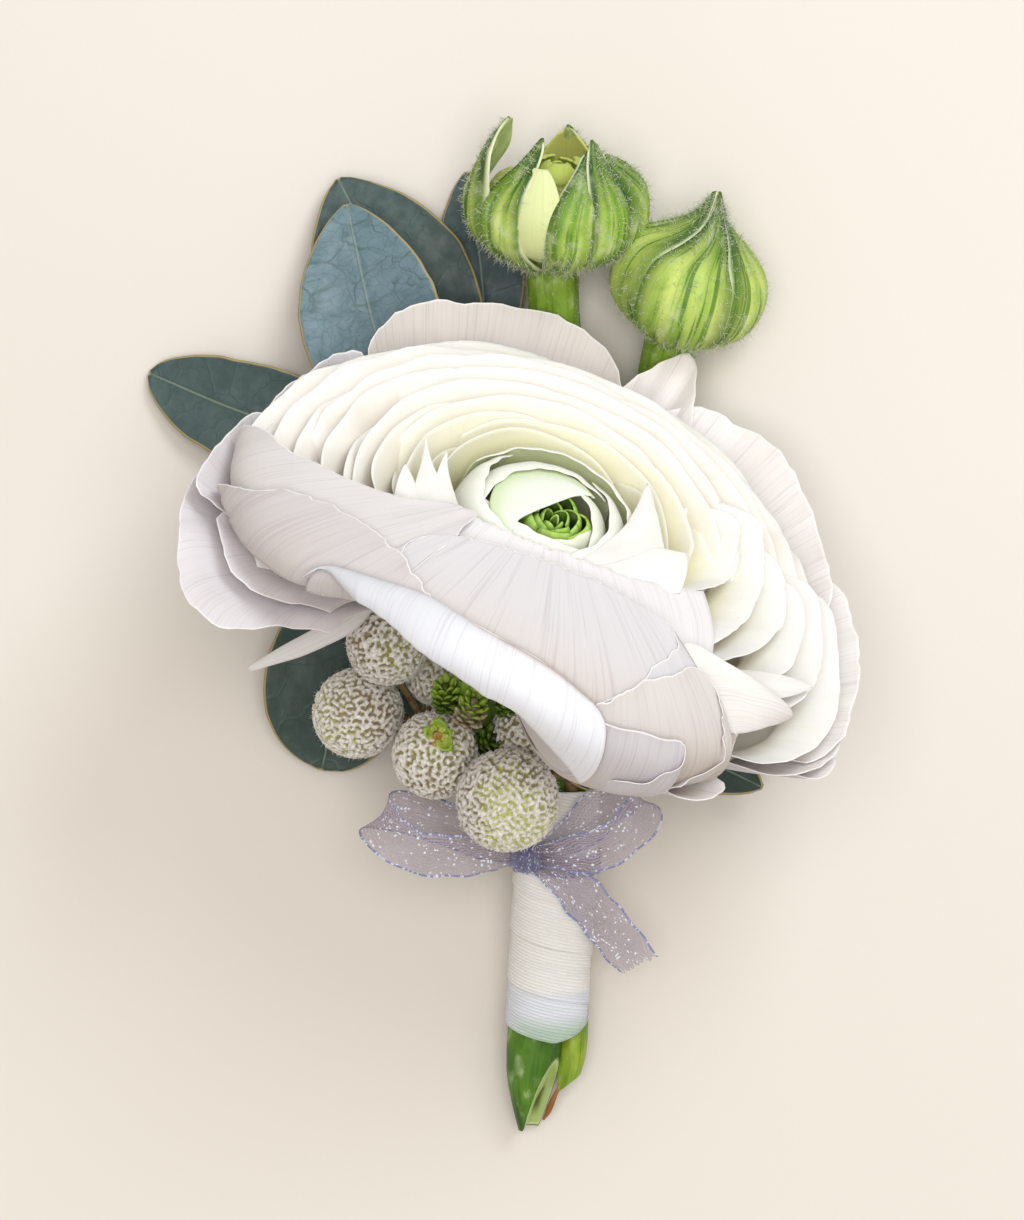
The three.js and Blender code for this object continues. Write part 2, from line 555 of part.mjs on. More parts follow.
const KNOT = { centre: [1.8, -31.4, 16.2], radii: [2.1, 1.9, 1.7] };
const BAND = { from: 20.4, to: 24.4 };
// Each stretch lists its middle line and, at the same points, which way the ribbon's width runs.
const RIBBON_STRETCHES = {
  left: [
    [[1.2, -31.4, 16], [0, 0.5, 0.3]], [[-5.3, -31.2, 18.6], [0, 1, 0.3]], [[-11, -31, 20], [0, 1, 0.35]],
    [[-16.1, -29, 19.6], [0.25, 1, 0.2]], [[-17.9, -27.2, 17.2], [0.3, 1, 0]], [[-15.2, -26.4, 15], [0.1, 1, -0.2]],
    [[-9.1, -27, 14.6], [0, 1, -0.2]], [[-3.4, -29.6, 15.2], [0, 1, 0]], [[1, -31.2, 15.6], [0, 0.5, 0]],
  ],
  right: [
    [[2.4, -31.4, 16.4], [0, 0.5, 0.3]], [[6.1, -31.1, 18.4], [-0.2, 1, 0.3]], [[11.2, -30.3, 20.2], [-0.4, 1, 0.3]],
    [[16.2, -27.4, 20.8], [-0.6, 1, 0.2]], [[18.4, -24.2, 19.6], [-0.8, 0.8, 0]], [[16.4, -22.8, 18], [-0.6, 0.8, 0]],
    [[12.6, -24.6, 17.2], [-0.7, 0.9, 0]], [[8.6, -28, 17.4], [-0.6, 0.9, 0.1]], [[3, -31.2, 16.4], [-0.2, 0.5, 0.1]],
  ],
  tail: [
    [[2.4, -31.8, 15.6], [0.2, 0.5, 0.1]], [[5.2, -33.4, 15.9], [0.5, 0.8, 0.1]], [[8.4, -36, 14.8], [0.75, 0.7, 0.1]],
    [[11.6, -39.6, 12.4], [0.8, 0.6, 0]], [[14.3, -43.4, 9.6], [0.9, 0.5, 0]], [[16.8, -46.8, 7.2], [0.95, 0.35, 0]],
  ],
};

function ribbonStretch(stations) {
  const line = new THREE.CatmullRomCurve3(stations.map(([p]) => vec(...p)));
  const widths = new THREE.CatmullRomCurve3(stations.map(([, w]) => vec(...w)));
  const steps = 2 * (stations.length - 1);
  const grid = [];
  for (let i = 0; i <= steps; i++) {
    const across = widths.getPoint(i / steps);
    const half = (RIBBON_WIDTH / 2) * Math.min(1, across.length());
    across.normalize();
    grid.push([-1, 0, 1].map((side) => line.getPoint(i / steps).addScaledVector(across, side * half)));
  }
  return sheetSolid(grid, RIBBON_THICKNESS);
}

function addBow() {
  const knot = cleaned(new THREE.SphereGeometry(1, 10, 8));
  knot.scale(...KNOT.radii).translate(...KNOT.centre);
  const inner = WRAP_RADIUS + GAP;
  const outer = inner + RIBBON_THICKNESS;
  const band = lathed([[outer, BAND.from], [outer, BAND.to], [inner, BAND.to], [inner, BAND.from], [outer, BAND.from]], 20);
  band.applyMatrix4(basis(BUNDLE_START, BUNDLE_ALONG, bundleAcross));
  const stretches = Object.values(RIBBON_STRETCHES).map(ribbonStretch);
  addMesh(object, 'ribbon_bow', joined([band, knot, ...stretches]), MATERIALS.organza);
}

function addRolledPetal() {
  const path = [vec(-6.3, -5.9, 27.3), vec(-10.5, -4.6, 28), vec(-15.3, -3, 28.2), vec(-20.6, -2.7, 27),
    vec(-27, -4.8, 24.4), vec(-33.2, -7.4, 22)];
  addMesh(object, 'rolled_petal', stalk(path, [0.3, 0.6, 0.8, 1, 1, 0.4], { sides: 6, steps: 9 }), MATERIALS.petal);
}

addFlowerStem();
addPetals();
addHeart();
addRolledPetal();
addBudStem();
addBud('opening_bud', OPENING_BUD);
addBud('closed_bud', CLOSED_BUD);
addEucalyptus();
addBrunia();
addWrap();
addBow();

export default object;
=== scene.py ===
# Boutonniere of one ranunculus, two buds, eucalyptus and brunia, tied with an organza bow.
# Shapes are worked out in millimetres round a working origin; Shape.make() puts them in the frame, in metres.
import contextlib
import math

import bmesh
import bpy
import numpy as np
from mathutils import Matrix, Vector


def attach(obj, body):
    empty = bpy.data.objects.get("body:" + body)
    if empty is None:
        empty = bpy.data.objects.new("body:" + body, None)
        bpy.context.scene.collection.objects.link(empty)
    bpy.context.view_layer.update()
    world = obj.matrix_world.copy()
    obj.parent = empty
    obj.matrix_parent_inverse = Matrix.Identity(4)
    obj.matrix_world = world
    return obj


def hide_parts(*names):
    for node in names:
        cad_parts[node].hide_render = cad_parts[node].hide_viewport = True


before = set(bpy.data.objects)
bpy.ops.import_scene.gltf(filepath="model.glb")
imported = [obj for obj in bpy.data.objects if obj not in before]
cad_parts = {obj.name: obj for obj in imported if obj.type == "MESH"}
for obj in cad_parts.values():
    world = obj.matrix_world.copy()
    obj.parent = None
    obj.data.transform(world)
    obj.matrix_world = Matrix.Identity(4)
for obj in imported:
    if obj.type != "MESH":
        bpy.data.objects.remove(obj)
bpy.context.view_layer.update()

MM = 0.001
PLACE = np.array((2.12, 2.36, -0.04))  # the working origin in the frame
FULL_TURN, GOLDEN_ANGLE = 2 * math.pi, 137.5
CAMERA_HEIGHT, LENS, FLOOR_SIZE = 0.85, 193.57, 2.4

FLOWER_BASE = np.array((-3.1, -5.1, 28.9))
TILT, TURN = math.radians(46), math.radians(24)
AXIS = np.array((math.sin(TILT) * math.sin(TURN), math.sin(TILT) * math.cos(TURN), math.cos(TILT)))
SIDE = np.array((math.cos(TURN), -math.sin(TURN), 0.0))
BACK = np.cross(AXIS, SIDE)

BUNDLE_START = np.array((4.35, -54.5, 5.45))
BUNDLE_ALONG = np.array((0.055, 1, 0.19)) / np.linalg.norm((0.055, 1, 0.19))
BUNDLE_ACROSS = np.array((1.0, 0, 0)) - BUNDLE_ALONG * BUNDLE_ALONG[0]
BUNDLE_ACROSS /= np.linalg.norm(BUNDLE_ACROSS)
BUNDLE_UP = np.cross(BUNDLE_ACROSS, BUNDLE_ALONG)


# ---------- numbers ----------

def srgb(*rgb):
    c = np.array(rgb, float) / 255
    return np.where(c <= 0.04045, c / 12.92, ((c + 0.055) / 1.055) ** 2.4)


def lerp(a, b, t):
    return a + (b - a) * t


def ease(x, low, high):
    t = np.clip((np.asarray(x, float) - low) / (high - low), 0, 1)
    return t * t * (3 - 2 * t)


def blend(a, b, share):
    """Colour a turning into colour b, one row for each share."""
    return lerp(np.asarray(a), np.asarray(b), np.asarray(share)[..., None])


def unit(v):
    return v / np.maximum(np.linalg.norm(v, axis=-1, keepdims=True), 1e-9)


def steps(points, axis=0):
    """Lengths of the steps between neighbouring points."""
    return np.linalg.norm(np.diff(points, axis=axis), axis=-1)


def run(lengths):
    return np.concatenate(([0], np.cumsum(lengths)))


def spline(points, count, weights=1):
    """Catmull-Rom through the points, evenly spaced by length; weights scale what counts as length."""
    p = np.array(points, float)
    p = np.vstack((2 * p[0] - p[1], p, 2 * p[-1] - p[-2]))
    t = np.linspace(0, 1, 24, endpoint=False)[:, None]
    fine = []
    for a, b, c, d in zip(p, p[1:], p[2:], p[3:]):
        cubic = (3 * b - a - 3 * c + d) * t ** 3
        fine.append(0.5 * (2 * b + (c - a) * t + (2 * a - 5 * b + 4 * c - d) * t * t + cubic))
    fine = np.vstack(fine + [p[-2:-1]])
    length = run(steps(fine * np.array(weights)))
    at = np.linspace(0, length[-1], count)
    return np.stack([np.interp(at, length, column) for column in fine.T], 1)


def values(stops, t):
    """Smooth values through evenly spaced stops, at shares t."""
    curve = spline(np.c_[np.linspace(0, 1, len(stops)), stops], 65, (1, 0))
    return np.interp(t, curve[:, 0], curve[:, 1])


def ripple(seed, low, high, *at, waves=7):
    """Smooth seeded noise at one, two or three numbers, about -1 to 1; low and high are waves per unit."""
    rng = np.random.default_rng(seed)
    way = unit(rng.normal(size=(waves, len(at)))) * rng.uniform(low, high, waves)[:, None] * FULL_TURN
    phase = rng.uniform(0, FULL_TURN, waves)
    at = np.stack(np.broadcast_arrays(*[np.asarray(a, float) for a in at]), -1)
    return np.sin(at @ way.T + phase).sum(-1) / math.sqrt(waves * 1.2)


def places(across, along, seed):
    """Pattern places in millimetres; the seed keeps pieces apart."""
    return np.stack(np.broadcast_arrays(across, along, float(seed)), -1)


def spans(cols, rows):
    """-1 to 1 across the columns, and 0 to 1 down the rows."""
    return np.linspace(-1, 1, cols)[None], np.linspace(0, 1, rows)[:, None]


def circle(sides):
    return np.linspace(0, FULL_TURN, sides, endpoint=False)


# ---------- meshes ----------

class Shape:
    """Gathers surfaces with their colours, pattern places and distances from the rim."""

    def __init__(self):
        self.points, self.quads, self.tris, self.tint, self.place, self.edge = ([] for _ in range(6))
        self.count = 0

    def add(self, points, quads=(), tris=(), tint=(1, 1, 1), place=(0, 0, 0), edge=9.0):
        points = np.asarray(points, float).reshape(-1, 3)
        self.points.append(points)
        for store, faces, sides in ((self.quads, quads, 4), (self.tris, tris, 3)):
            store.append(np.asarray(faces, int).reshape(-1, sides) + self.count)
        for store, given, width in ((self.tint, tint, 3), (self.place, place, 3), (self.edge, edge, 1)):
            given = np.asarray(given, float).reshape(-1, width)
            store.append(np.broadcast_to(given, (len(points), width)))
        self.count += len(points)

    def make(self, name, material):
        mesh = bpy.data.meshes.new(name)
        points = (np.concatenate(self.points) + PLACE) * MM
        quads, tris = np.concatenate(self.quads), np.concatenate(self.tris)
        corners = np.concatenate((quads.ravel(), tris.ravel()))
        starts = np.concatenate((np.arange(len(quads)) * 4, quads.size + np.arange(len(tris)) * 3))
        for part, count, field, data in (
                (mesh.vertices, len(points), "co", points.ravel()),
                (mesh.loops, len(corners), "vertex_index", corners.astype(np.int32)),
                (mesh.polygons, len(starts), "loop_start", starts.astype(np.int32))):
            part.add(count)
            part.foreach_set(field, data)
        mesh.polygons.foreach_set("use_smooth", np.ones(len(starts), bool))
        mesh.update(calc_edges=True)
        mesh.validate()
        tint = np.concatenate(self.tint)
        for key, kind, field, data in (
                ("tint", "FLOAT_COLOR", "color", np.c_[tint, np.ones(len(tint))]),
                ("place", "FLOAT_VECTOR", "vector", np.concatenate(self.place)),
                ("edge", "FLOAT", "value", np.concatenate(self.edge))):
            mesh.attributes.new(key, kind, "POINT").data.foreach_set(field, data.ravel())
        mesh.materials.append(material)
        return link(bpy.data.objects.new(name, mesh))


def link(obj):
    bpy.context.scene.collection.objects.link(obj)
    return obj


@contextlib.contextmanager
def piece(name, material, slot, *nodes):
    """One visible piece: what is added to the shape becomes an object that stands for the CAD nodes."""
    shape = Shape()
    yield shape
    obj = shape.make(name, material)
    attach(obj, "root")
    if nodes:
        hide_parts(*nodes)


def grid_normals(grid, ring=False):
    across = np.roll(grid, -1, 1) - np.roll(grid, 1, 1) if ring else np.gradient(grid, axis=1)
    return unit(np.cross(across, np.gradient(grid, axis=0)))


def faces(a, b, c, d):
    return np.stack((a, b, c, d), -1).reshape(-1, 4)


def sheet(shape, grid, thick, tint=(1, 1, 1), place=(0, 0, 0), edge=9.0, ring=False, tint_back=None):
    """A closed thin body round a grid of points, rounded at its edges; grid rows run along it."""
    rows, cols = grid.shape[:2]
    n = rows * cols
    half = np.broadcast_to(np.asarray(thick, float) / 2, (rows, cols))[..., None]
    off = grid_normals(grid, ring) * half
    index = np.arange(n).reshape(rows, cols)
    outward = np.zeros((rows, cols, 3))
    outward[0] += unit(grid[0] - grid[1])
    outward[-1] += unit(grid[-1] - grid[-2])
    if ring:
        right = np.roll(index, -1, 1)
        a, b, c, d = index[:-1], right[:-1], right[1:], index[1:]
        loops = [index[0], index[-1][::-1]]
    else:
        a, b, c, d = index[:-1, :-1], index[:-1, 1:], index[1:, 1:], index[1:, :-1]
        loops = [np.concatenate((index[0, :-1], index[:-1, -1], index[-1, :0:-1], index[:0:-1, 0]))]
        outward[:, 0] += unit(grid[:, 0] - grid[:, 1])
        outward[:, -1] += unit(grid[:, -1] - grid[:, -2])
    rim = (grid + unit(outward) * half * 0.8).reshape(-1, 3)
    quads = [faces(a, b, c, d), faces(a, d, c, b) + n]
    points, pick = [(grid + off).reshape(-1, 3), (grid - off).reshape(-1, 3)], [np.arange(n)] * 2
    start = 2 * n
    for loop in loops:
        own = start + np.arange(len(loop))
        after, own_after = np.roll(loop, -1), np.roll(own, -1)
        quads += [faces(after, loop, own, own_after), faces(own_after, own, loop + n, after + n)]
        points.append(rim[loop])
        pick.append(loop)
        start += len(loop)
    pick = np.concatenate(pick)

    def spread(given, *width):
        return np.broadcast_to(np.asarray(given, float), (rows, cols, *width)).reshape(n, -1)[pick]

    colours = spread(tint, 3)
    if tint_back is not None:
        colours[n:2 * n] = spread(tint_back, 3)[n:2 * n]
    shape.add(np.concatenate(points), np.concatenate(quads), (), colours, spread(place, 3), spread(edge))


def frames_along(points):
    """Tangents and two sideways directions, carried along without twist."""
    tangent = unit(np.gradient(points, axis=0))
    side = np.zeros_like(tangent)
    side[-1] = (1.0, 0, 0) if abs(tangent[0, 0]) < 0.8 else (0, 0, 1.0)
    for i in range(len(points)):
        side[i] = unit(side[i - 1] - tangent[i] * (side[i - 1] @ tangent[i]))
    return tangent, side, np.cross(tangent, side)


def tube(shape, points, radii, sides, tint, flat=1.0, seed=0, bumpy=0.0):
    """A closed round stalk through evenly spaced points."""
    rows = len(points)
    radii = np.broadcast_to(np.asarray(radii, float), (rows,))
    tangent, side, up = frames_along(points)
    angle = circle(sides)
    length = run(steps(points))
    swell = 1 + bumpy * ripple(seed + 5, 0.3, 1.2, angle[None] * 0.5, length[:, None] * 0.12)
    out = side[:, None] * np.cos(angle)[None, :, None] + up[:, None] * flat * np.sin(angle)[None, :, None]
    grid = points[:, None] + out * (radii[:, None] * swell)[..., None]
    ends = [points[i] + way * tangent[i] * radii[i] * 0.6 for i, way in ((0, -1), (-1, 1))]
    n = rows * sides
    index = np.arange(n).reshape(rows, sides)
    right = np.roll(index, -1, 1)
    tris = [np.stack((right[0], index[0], np.full(sides, n)), -1),
            np.stack((index[-1], right[-1], np.full(sides, n + 1)), -1)]
    place = places(angle * radii.max(), length[:, None], seed).reshape(-1, 3)
    place = np.vstack((place, (0, 0, seed), (0, length[-1], seed)))
    tint = np.asarray(tint, float)
    if tint.ndim > 1:
        tint = np.vstack((np.repeat(tint, sides, 0), tint[:1], tint[-1:]))
    quads = faces(index[:-1], right[:-1], right[1:], index[1:])
    shape.add(np.vstack((grid.reshape(-1, 3), *ends)), quads, np.concatenate(tris), tint, place)


def strip(line, across, along, side, lift):
    """A grid along a line: side and lift are distances across it and at right angles to both."""
    up = np.cross(across, along)
    return line[:, None] + across[:, None] * side[..., None] + up[:, None] * lift[..., None]


def twigs(shape, routes, sides, tint, seed, bumpy, taper=0.0):
    """Tubes along routes of (points, radius, steps); the tint runs from its first colour to its last."""
    for k, (points, radius, count) in enumerate(routes):
        share = np.linspace(0, 1, count)
        colour = blend(*tint, share)
        tube(shape, spline(points, count), radius * (1 - taper * share), sides, colour, 1.0, seed + k, bumpy)


# ---------- materials ----------

class Nodes:
    """A node material under construction; vectors and colours are passed as sockets or plain values."""

    def __init__(self, name):
        self.material = bpy.data.materials.new(name)
        self.material.use_nodes = True
        self.tree = self.material.node_tree
        self.tree.nodes.clear()

    def node(self, kind, inputs=(), **settings):
        node = self.tree.nodes.new("ShaderNode" + kind)
        for key, value in settings.items():
            setattr(node, key, value)
        for key, value in dict(inputs).items():
            if isinstance(value, bpy.types.NodeSocket):
                self.tree.links.new(value, node.inputs[key])
            else:
                node.inputs[key].default_value = value
        return node

    def attribute(self, name, output):
        return self.node("Attribute", attribute_name=name).outputs[output]

    def place(self):
        return self.split(self.attribute("place", "Vector"))

    def math(self, operation, *given):
        return self.node("Math", enumerate(given), operation=operation).outputs[0]

    def times(self, a, b):
        return self.math("MULTIPLY", a, b)

    def plus(self, a, b):
        return self.math("ADD", a, b)

    def split(self, vector):
        return self.node("SeparateXYZ", {0: vector}).outputs

    def join(self, *xyz):
        return self.node("CombineXYZ", enumerate(xyz)).outputs[0]

    def stretch(self, place, x, y, shift=0.5):
        """The piece's own pattern place, stretched, with its seed keeping pieces apart."""
        return self.join(self.times(place[0], x), self.times(place[1], y),
                         self.math("MULTIPLY_ADD", place[2], 7.31, shift))

    def noise(self, vector, scale=1.0, detail=2.0, roughness=0.5):
        inputs = {"Vector": vector, "Scale": scale, "Detail": detail, "Roughness": roughness}
        return self.node("TexNoise", inputs).outputs["Fac"]

    def net(self, vector, scale, width):
        """Lines along the borders of cells."""
        cells = self.node("TexVoronoi", {"Vector": vector}, feature="DISTANCE_TO_EDGE")
        cells.inputs["Scale"].default_value = scale
        return self.fade(cells.outputs["Distance"], 0.0, width, 1.0, 0.0)

    def fade(self, value, low, high, to_low=0.0, to_high=1.0):
        inputs = {"Value": value, "From Min": low, "From Max": high, "To Min": to_low, "To Max": to_high}
        return self.node("MapRange", inputs, interpolation_type="SMOOTHSTEP").outputs["Result"]

    def mix(self, share, a, b, mode="MIX"):
        a, b = ((*c, 1) if isinstance(c, np.ndarray) else c for c in (a, b))
        return self.node("Mix", {0: share, 6: a, 7: b}, data_type="RGBA", blend_type=mode).outputs[2]

    def shade(self, share, colour, by, mode="MULTIPLY"):
        """The colour, with a share of it multiplied by another."""
        return self.mix(share, colour, self.mix(1.0, colour, by, mode))

    def finish(self, colour, roughness, height, depth_mm, strength, through=0.0, **plain):
        """The shader: its gloss, a bump from the height and the share of light that comes through."""
        bump = {"Height": height, "Distance": depth_mm * MM, "Strength": strength}
        plain = {key.replace("_", " "): value for key, value in plain.items()}
        shader = self.node("BsdfPrincipled", {
            "Base Color": colour, "Roughness": roughness, "Normal": self.node("Bump", bump).outputs[0],
            **plain}).outputs[0]
        if through:
            other = self.node("BsdfTranslucent", {"Color": colour}).outputs[0]
            shader = self.node("MixShader", {0: through, 1: shader, 2: other}).outputs[0]
        self.node("OutputMaterial", {0: shader})
        return self.material


THREAD_PITCH, WEFT_PITCH, CREPE_PITCH = 0.36, 0.3, 0.42


def petal_material(name, vein_depth, vein_tint, through):
    """Petals: fine veins that fan from the claw, faint blotches and a thinner rim painted paler as a highlight.
    """
    m = Nodes(name)
    tint, edge, place = m.attribute("tint", "Color"), m.attribute("edge", "Fac"), m.place()
    fine = m.noise(m.stretch(place, 4.0, 0.06), roughness=0.6)
    broad = m.noise(m.stretch(place, 1.2, 0.04, 3.0), detail=1.0)
    blotch = m.noise(m.stretch(place, 0.12, 0.1, 9.0))
    vein = m.times(m.fade(fine, 0.48, 0.72), m.fade(broad, 0.3, 0.6, 0.3, 1.0))
    colour = m.shade(m.times(vein, vein_depth), tint, vein_tint)
    colour = m.shade(m.fade(blotch, 0.5, 0.8, 0.0, 0.25), colour, srgb(250, 244, 238))
    # Painted highlight: paler towards the rim.
    colour = m.mix(m.fade(edge, 0.22, 0.02, 0.0, 0.8), colour, srgb(250, 247, 246))
    return m.finish(colour, m.fade(blotch, 0.3, 0.7, 0.5, 0.62), m.plus(m.times(fine, 0.8), broad), 0.09, 0.45,
                    through, Specular_IOR_Level=0.35, Sheen_Weight=0.08)


def leaf_material():
    """Eucalyptus: waxy blue-green with a pale midrib, net veins, dark flecks and an ochre margin."""
    m = Nodes("eucalyptus")
    tint, edge, place = m.attribute("tint", "Color"), m.attribute("edge", "Fac"), m.place()
    at = m.stretch(place, 1.0, 1.0)
    bend = m.noise(at, scale=0.35)
    bent = m.node("VectorMath", {0: at, 1: m.join(m.times(bend, 5.0), bend)}, operation="ADD").outputs[0]
    net, fine_net = m.net(bent, 0.22, 0.06), m.net(bent, 0.75, 0.09)
    midrib = m.fade(m.math("ABSOLUTE", place[0]), 0.08, 0.24, 1.0, 0.0)
    wax = m.noise(at, scale=0.5, detail=5.0, roughness=0.62)
    fleck = m.fade(m.noise(m.stretch(place, 2.6, 1.5, 4.0), detail=3.0, roughness=0.7), 0.63, 0.72)
    margin = m.fade(m.plus(edge, m.times(bend, 0.12)), 0.24, 0.12)
    colour = m.shade(m.fade(wax, 0.3, 0.7, 0.0, 0.5), tint, srgb(200, 214, 214))
    for share, other in (
            (m.times(fine_net, 0.26), srgb(46, 66, 60)), (m.times(fleck, 0.55), srgb(36, 58, 48)),
            (m.times(net, m.fade(bend, 0.4, 0.66, 0.1, 0.55)), srgb(52, 78, 70)),
            (m.times(midrib, 0.42), srgb(140, 154, 130)), (margin, srgb(158, 142, 96))):
        colour = m.mix(share, colour, other)
    height = m.plus(m.times(wax, 0.5), m.plus(midrib, m.times(net, 0.35)))
    return m.finish(colour, m.fade(wax, 0.3, 0.7, 0.42, 0.6), height, 0.16, 0.5, Specular_IOR_Level=0.4)


def green_material(name, roughness, line_depth, line_tint, through):
    """Sepals and stems: lengthwise ribs, darker lines between them and small pale specks."""
    m = Nodes(name)
    tint, place = m.attribute("tint", "Color"), m.place()
    ribs = m.noise(m.stretch(place, 1.15, 0.07), roughness=0.55)
    mottle = m.noise(m.stretch(place, 0.45, 0.3, 2.0), detail=4.0)
    fine = m.noise(m.stretch(place, 3.2, 0.8, 6.0), detail=3.0)
    colour = m.shade(m.times(m.fade(ribs, 0.54, 0.64), line_depth), tint, line_tint)
    colour = m.shade(m.fade(mottle, 0.52, 0.75, 0.0, 0.35), colour, srgb(228, 240, 190), "SCREEN")
    colour = m.shade(m.fade(mottle, 0.5, 0.28, 0.0, 0.45), colour, srgb(150, 178, 120))
    colour = m.mix(m.fade(fine, 0.68, 0.76, 0.0, 0.5), colour, srgb(214, 226, 178))
    gloss = m.fade(mottle, 0.3, 0.7, roughness, roughness + 0.14)
    height = m.plus(m.times(ribs, 1.6), m.times(fine, 0.5))
    return m.finish(colour, gloss, height, 0.16, 0.55, through, Specular_IOR_Level=0.45)


def plain_material(name, scale, roughness, shade, depth_mm, through=0.0, **plain):
    """Colour from the mesh, broken up by noise in colour, roughness and height."""
    m = Nodes(name)
    grain = m.noise(m.node("TexCoord").outputs["Object"], scale=scale, detail=4.0, roughness=0.65)
    colour = m.shade(m.fade(grain, 0.35, 0.7), m.attribute("tint", "Color"), shade)
    gloss = m.fade(grain, 0.3, 0.7, roughness - 0.08, roughness + 0.08)
    return m.finish(colour, gloss, grain, depth_mm, 0.6, through, **plain)


def organza_material():
    """Sheer ribbon: wavy threads with gaps between them, dense selvages and rows of bright dashes."""
    m = Nodes("organza")
    tint, edge, place = m.attribute("tint", "Color"), m.attribute("edge", "Fac"), m.place()
    across = m.plus(place[0], m.times(m.noise(m.stretch(place, 0.5, 0.45)), 1.7))
    thread = m.fade(m.math("SINE", m.times(across, FULL_TURN / THREAD_PITCH)), -0.5, 0.5)
    weft = m.fade(m.math("SINE", m.times(place[1], FULL_TURN / WEFT_PITCH)), 0.2, 0.9)
    selvage = m.fade(edge, 0.30, 0.16)
    rows = m.join(m.times(across, 2.4), m.times(place[1], 1.9), place[2])
    pick = m.node("TexVoronoi", {"Vector": rows, "Scale": 1.0, "Randomness": 0.85}, feature="F1").outputs
    chosen = m.fade(m.split(pick["Color"])[0], 0.38, 0.42)
    area = m.fade(m.noise(m.stretch(place, 0.9, 0.3, 5.0), detail=1.0), 0.42, 0.5)
    dash = m.times(m.times(chosen, area), m.fade(pick["Distance"], 0.40, 0.28))
    edge_dash = m.times(selvage, m.fade(m.noise(m.stretch(place, 0.2, 3.4, 8.0), detail=0.0), 0.55, 0.62))
    # The dashes are silver threads; their sparkle is painted as near-white colour, a painted glint.
    bright = m.math("MAXIMUM", dash, m.times(edge_dash, 0.8))
    colour = m.mix(thread, m.mix(1.0, tint, srgb(214, 206, 210), "MULTIPLY"), tint)
    colour = m.mix(m.times(selvage, 0.85), colour, srgb(128, 136, 192))
    colour = m.mix(bright, colour, srgb(238, 242, 255))
    cover = m.math("MAXIMUM", m.plus(m.times(thread, 0.5), m.times(weft, 0.1)), 0.2)
    for share in (m.times(selvage, 0.88), m.times(bright, 0.95)):
        cover = m.math("MAXIMUM", cover, share)
    return m.finish(colour, m.fade(bright, 0.0, 1.0, 0.42, 0.25), thread, 0.05, 0.5,
                    Alpha=cover, Specular_IOR_Level=0.5)


def crepe_material():
    """Stem tape: fine even ribs along the tape, with loose fibres."""
    m = Nodes("crepe_tape")
    tint, place = m.attribute("tint", "Color"), m.place()
    across = m.plus(place[0], m.times(m.noise(m.stretch(place, 0.5, 0.12), detail=3.0), 0.5))
    rib = m.math("SINE", m.times(across, FULL_TURN / CREPE_PITCH))
    fibre = m.noise(m.stretch(place, 5.0, 0.8, 3.0), detail=4.0, roughness=0.7)
    colour = m.shade(m.fade(rib, 0.2, -0.9, 0.0, 0.5), tint, srgb(238, 234, 228))
    colour = m.shade(m.fade(fibre, 0.35, 0.7, 0.0, 0.35), colour, srgb(246, 243, 238))
    gloss, height = m.fade(fibre, 0.3, 0.7, 0.7, 0.9), m.plus(rib, m.times(fibre, 0.7))
    return m.finish(colour, gloss, height, 0.07, 0.8, 0.12, Specular_IOR_Level=0.25, Sheen_Weight=0.15)


PETAL = petal_material("petal", 0.5, srgb(224, 216, 221), 0.14)
HEART = petal_material("inner_petal", 0.3, srgb(250, 248, 244), 0.2)
EYE = green_material("eye", 0.4, 0.6, srgb(150, 180, 110), 0.1)
SEPAL = green_material("sepal", 0.5, 0.85, srgb(120, 160, 90), 0.1)
STEM = green_material("stem", 0.38, 0.5, srgb(160, 186, 120), 0.05)
CORE = petal_material("bud_core", 0.5, srgb(214, 222, 150), 0.15)
LEAF = leaf_material()
TWIG = plain_material("twig", 900.0, 0.75, srgb(170, 150, 120), 0.15)
BRUNIA = plain_material("brunia", 2600.0, 0.85, srgb(206, 200, 186), 0.1, 0.04, Sheen_Weight=0.25)
FLORET = plain_material("floret", 1800.0, 0.45, srgb(200, 216, 150), 0.08, 0.12)
HAIR = plain_material("hair", 1500.0, 0.5, srgb(235, 240, 225), 0.0, 0.35)
ORGANZA = organza_material()
CREPE = crepe_material()


# ---------- the flower ----------

# The first colour below, for outer faces, is the petals' lilac-tinged white, darkened to a grey partly as
# painted shade.
WHITE, INNER_WHITE, LOWER_PETAL_SHADE = srgb(216, 212, 216), srgb(255, 254, 251), srgb(206, 197, 192)
# The grey-pink last on the line above is painted shade for the lower part of a petal, where the petal in front
# shades it.
PEACH, LEMON, LIME = srgb(255, 240, 222), srgb(252, 247, 204), srgb(214, 222, 128)
SHADED = srgb(212, 206, 206)
# Inner-face colours of the guard petals: the left and top ones are darkened as painted shade, the right one is
# near the petals' own white.
LEFT_GUARD_SHADE, TOP_GUARD_SHADE, RIGHT_GUARD = srgb(232, 227, 230), srgb(226, 218, 212), srgb(252, 247, 244)
SHELL_THICKNESS, INNER_THICKNESS = 0.26, 0.22
LAYER = 1.3  # from one layer of the cup to the next
SEAT_RADIUS = 2.7
CROWN = 30.2
TUCK = {"middle": 260, "full": 16, "reach": 58, "radius": 2.4, "height": 5.0}


def polar(place, degrees, r, h):
    """Points at an angle, a radius and a height in a frame of (base, up, side, other side)."""
    base, up, side, other = place
    r, h, turn = (a[..., None] for a in np.broadcast_arrays(r, h, np.radians(degrees)))
    return base + side * (r * np.cos(turn)) + other * (r * np.sin(turn)) + up * h


def flower_point(degrees, r, h):
    return polar((FLOWER_BASE, AXIS, SIDE, BACK), degrees, r, h)


def tuck(degrees):
    return 1 - ease(np.abs(degrees - TUCK["middle"]), TUCK["full"], TUCK["reach"])


